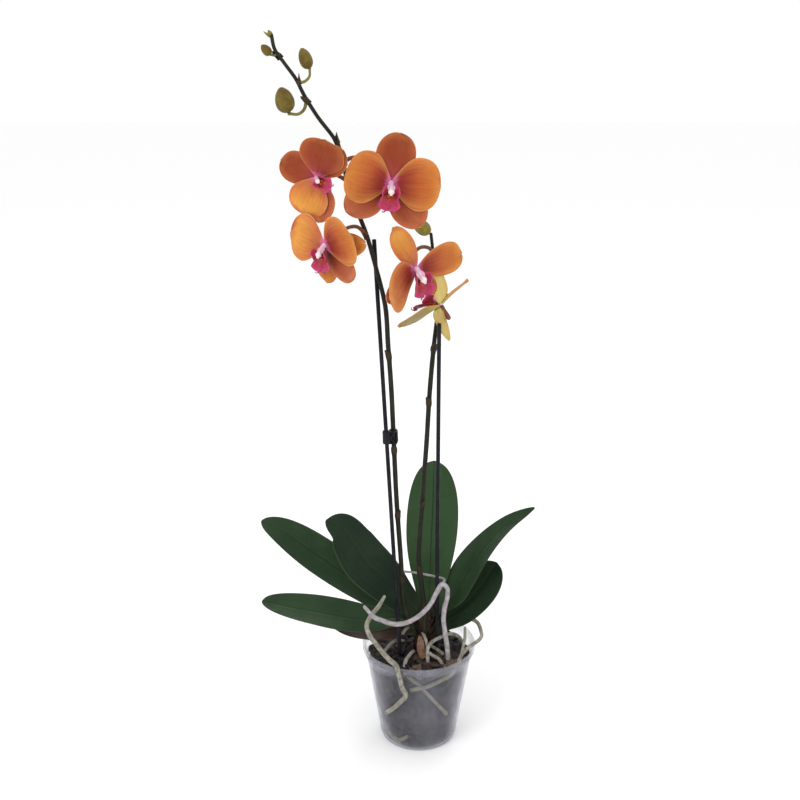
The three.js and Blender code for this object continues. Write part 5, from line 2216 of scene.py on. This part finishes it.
        def stalk(flower: str, *stops: Sequence[float]) -> tuple[Array, float, float, bool]:
            """Return the stalk that runs through the stops to the back of a flower.

            Args:
                flower: The flower's name.
                *stops: The stops, in millimetres.

            Returns:
                Its points, its two radii, and that it bears no bud.
            """
            return np.vstack([route(*stops), back[flower][None]]), 0.0018, 0.0016, False

        left_stalks = (
            stalk("lower_left", (-51.5, -14, 546), (-60, -20, 554), (-72, -33, 553)),
            stalk("upper_left", (-69, -16, 596), (-77, -22, 601), (-88, -36, 607)),
            stalk("upper_right", (-71.6, -17, 613), (-61, -22, 617), (-40, -33, 610)),
            (route((-103, -23.6, 668), (-105.5, -25, 659), (-111, -25, 655), (-119, -24, 655.4)),
             0.0015, 0.0013, True),
            (route((-110.6, -25, 683), (-105, -26, 682.6), (-100, -26, 687), (-99.5, -26, 694)),
             0.0013, 0.0011, True),
            (route((-127.4, -27.8, 706), (-130, -28.2, 704.8), (-133, -28.4, 705.4)),
             0.0011, 0.0009, True),
        )
        tip_buds = (
            (point_at(-132, -28, 721), point_at(-134.6, -28, 725.6), 0.0042),
            (point_at(-131.6, -28, 719), point_at(-138.6, -28, 724.6), 0.0022),
        )
        left_joints = ((0.183, 250), (0.257, 300), (0.327, 270), (0.427, 230), (0.629, 20))
        Spike("spike_left", left, left_joints, left_stalks, tip_buds).make()
        right_stalks = (
            stalk("lower_right", (17, 7.4, 470), (25, 4, 463), (27, -10, 466)),
            stalk("right", (12.8, 1.6, 518), (8, -10, 532), (-3, -27, 535), (-10, -37, 526)),
        )
        right_joints = ((0.187, 260), (0.262, 310), (0.375, 240), (0.432, 280))
        Spike("spike_right", right, right_joints, right_stalks, thin_from=0.7, top_radius=0.0015).make()
        buds = (
            Bud("bud_large", point_at(-119.6, -24, 656.2), point_at(-126, -24, 678), 0.0172),
            Bud("bud_upper", point_at(-99.8, -26, 693.6), point_at(-106.4, -26, 711), 0.0118),
            Bud("bud_small", point_at(-133, -28.4, 705.4), point_at(-141, -28.6, 713.4), 0.0082),
            Bud("bud_right", point_at(7.6, -14.2, 547.4), point_at(-7.6, -20, 559.4), 0.0134,
                YOUNG_BUD_SKIN),
        )
        for bud in buds:
            bud.make()

    def make(self) -> None:
        """Build the whole plant."""
        self.make_leaves()
        self.make_roots()
        self.make_flowers()
        self.make_spikes()


def main() -> None:
    """Build the studio, the pot, the plant and its supports."""
    logging.basicConfig(level=logging.INFO, format="%(name)s %(message)s")
    Studio().make()
    pot = Pot()
    pot.make()
    wall_routes = (
        on_wall(pot, ((-43, 93, 1), (-52, 92, 0.3), (-65, 90, 0), (-80, 85.5, 0), (-99, 81, 0)), 0.002),
        on_wall(pot, ((-107, 99, 2), (-99, 92, 3), (-90, 84, 4.8), (-72, 66, 1), (-48, 41, 0)), 0.002),
        on_wall(pot, ((-157, 22, 0), (-145, 9, 1), (-125, 7.5, 1), (-109, 16, 0)), 0.002),
    )
    BarkMix(pot, wall_roots=wall_routes).make()
    Plant(wall_routes).make()
    Stick("stick_left", route((-14.6, -15.6, 6), (-27.4, -12, 235), (-44.4, -7.2, 540))).make()
    Stick("stick_right", route((19.6, -6, 6), (18.4, -9, 230), (17.6, -12, 460))).make()
    Clip().make()


if __name__ == "__main__":
    main()
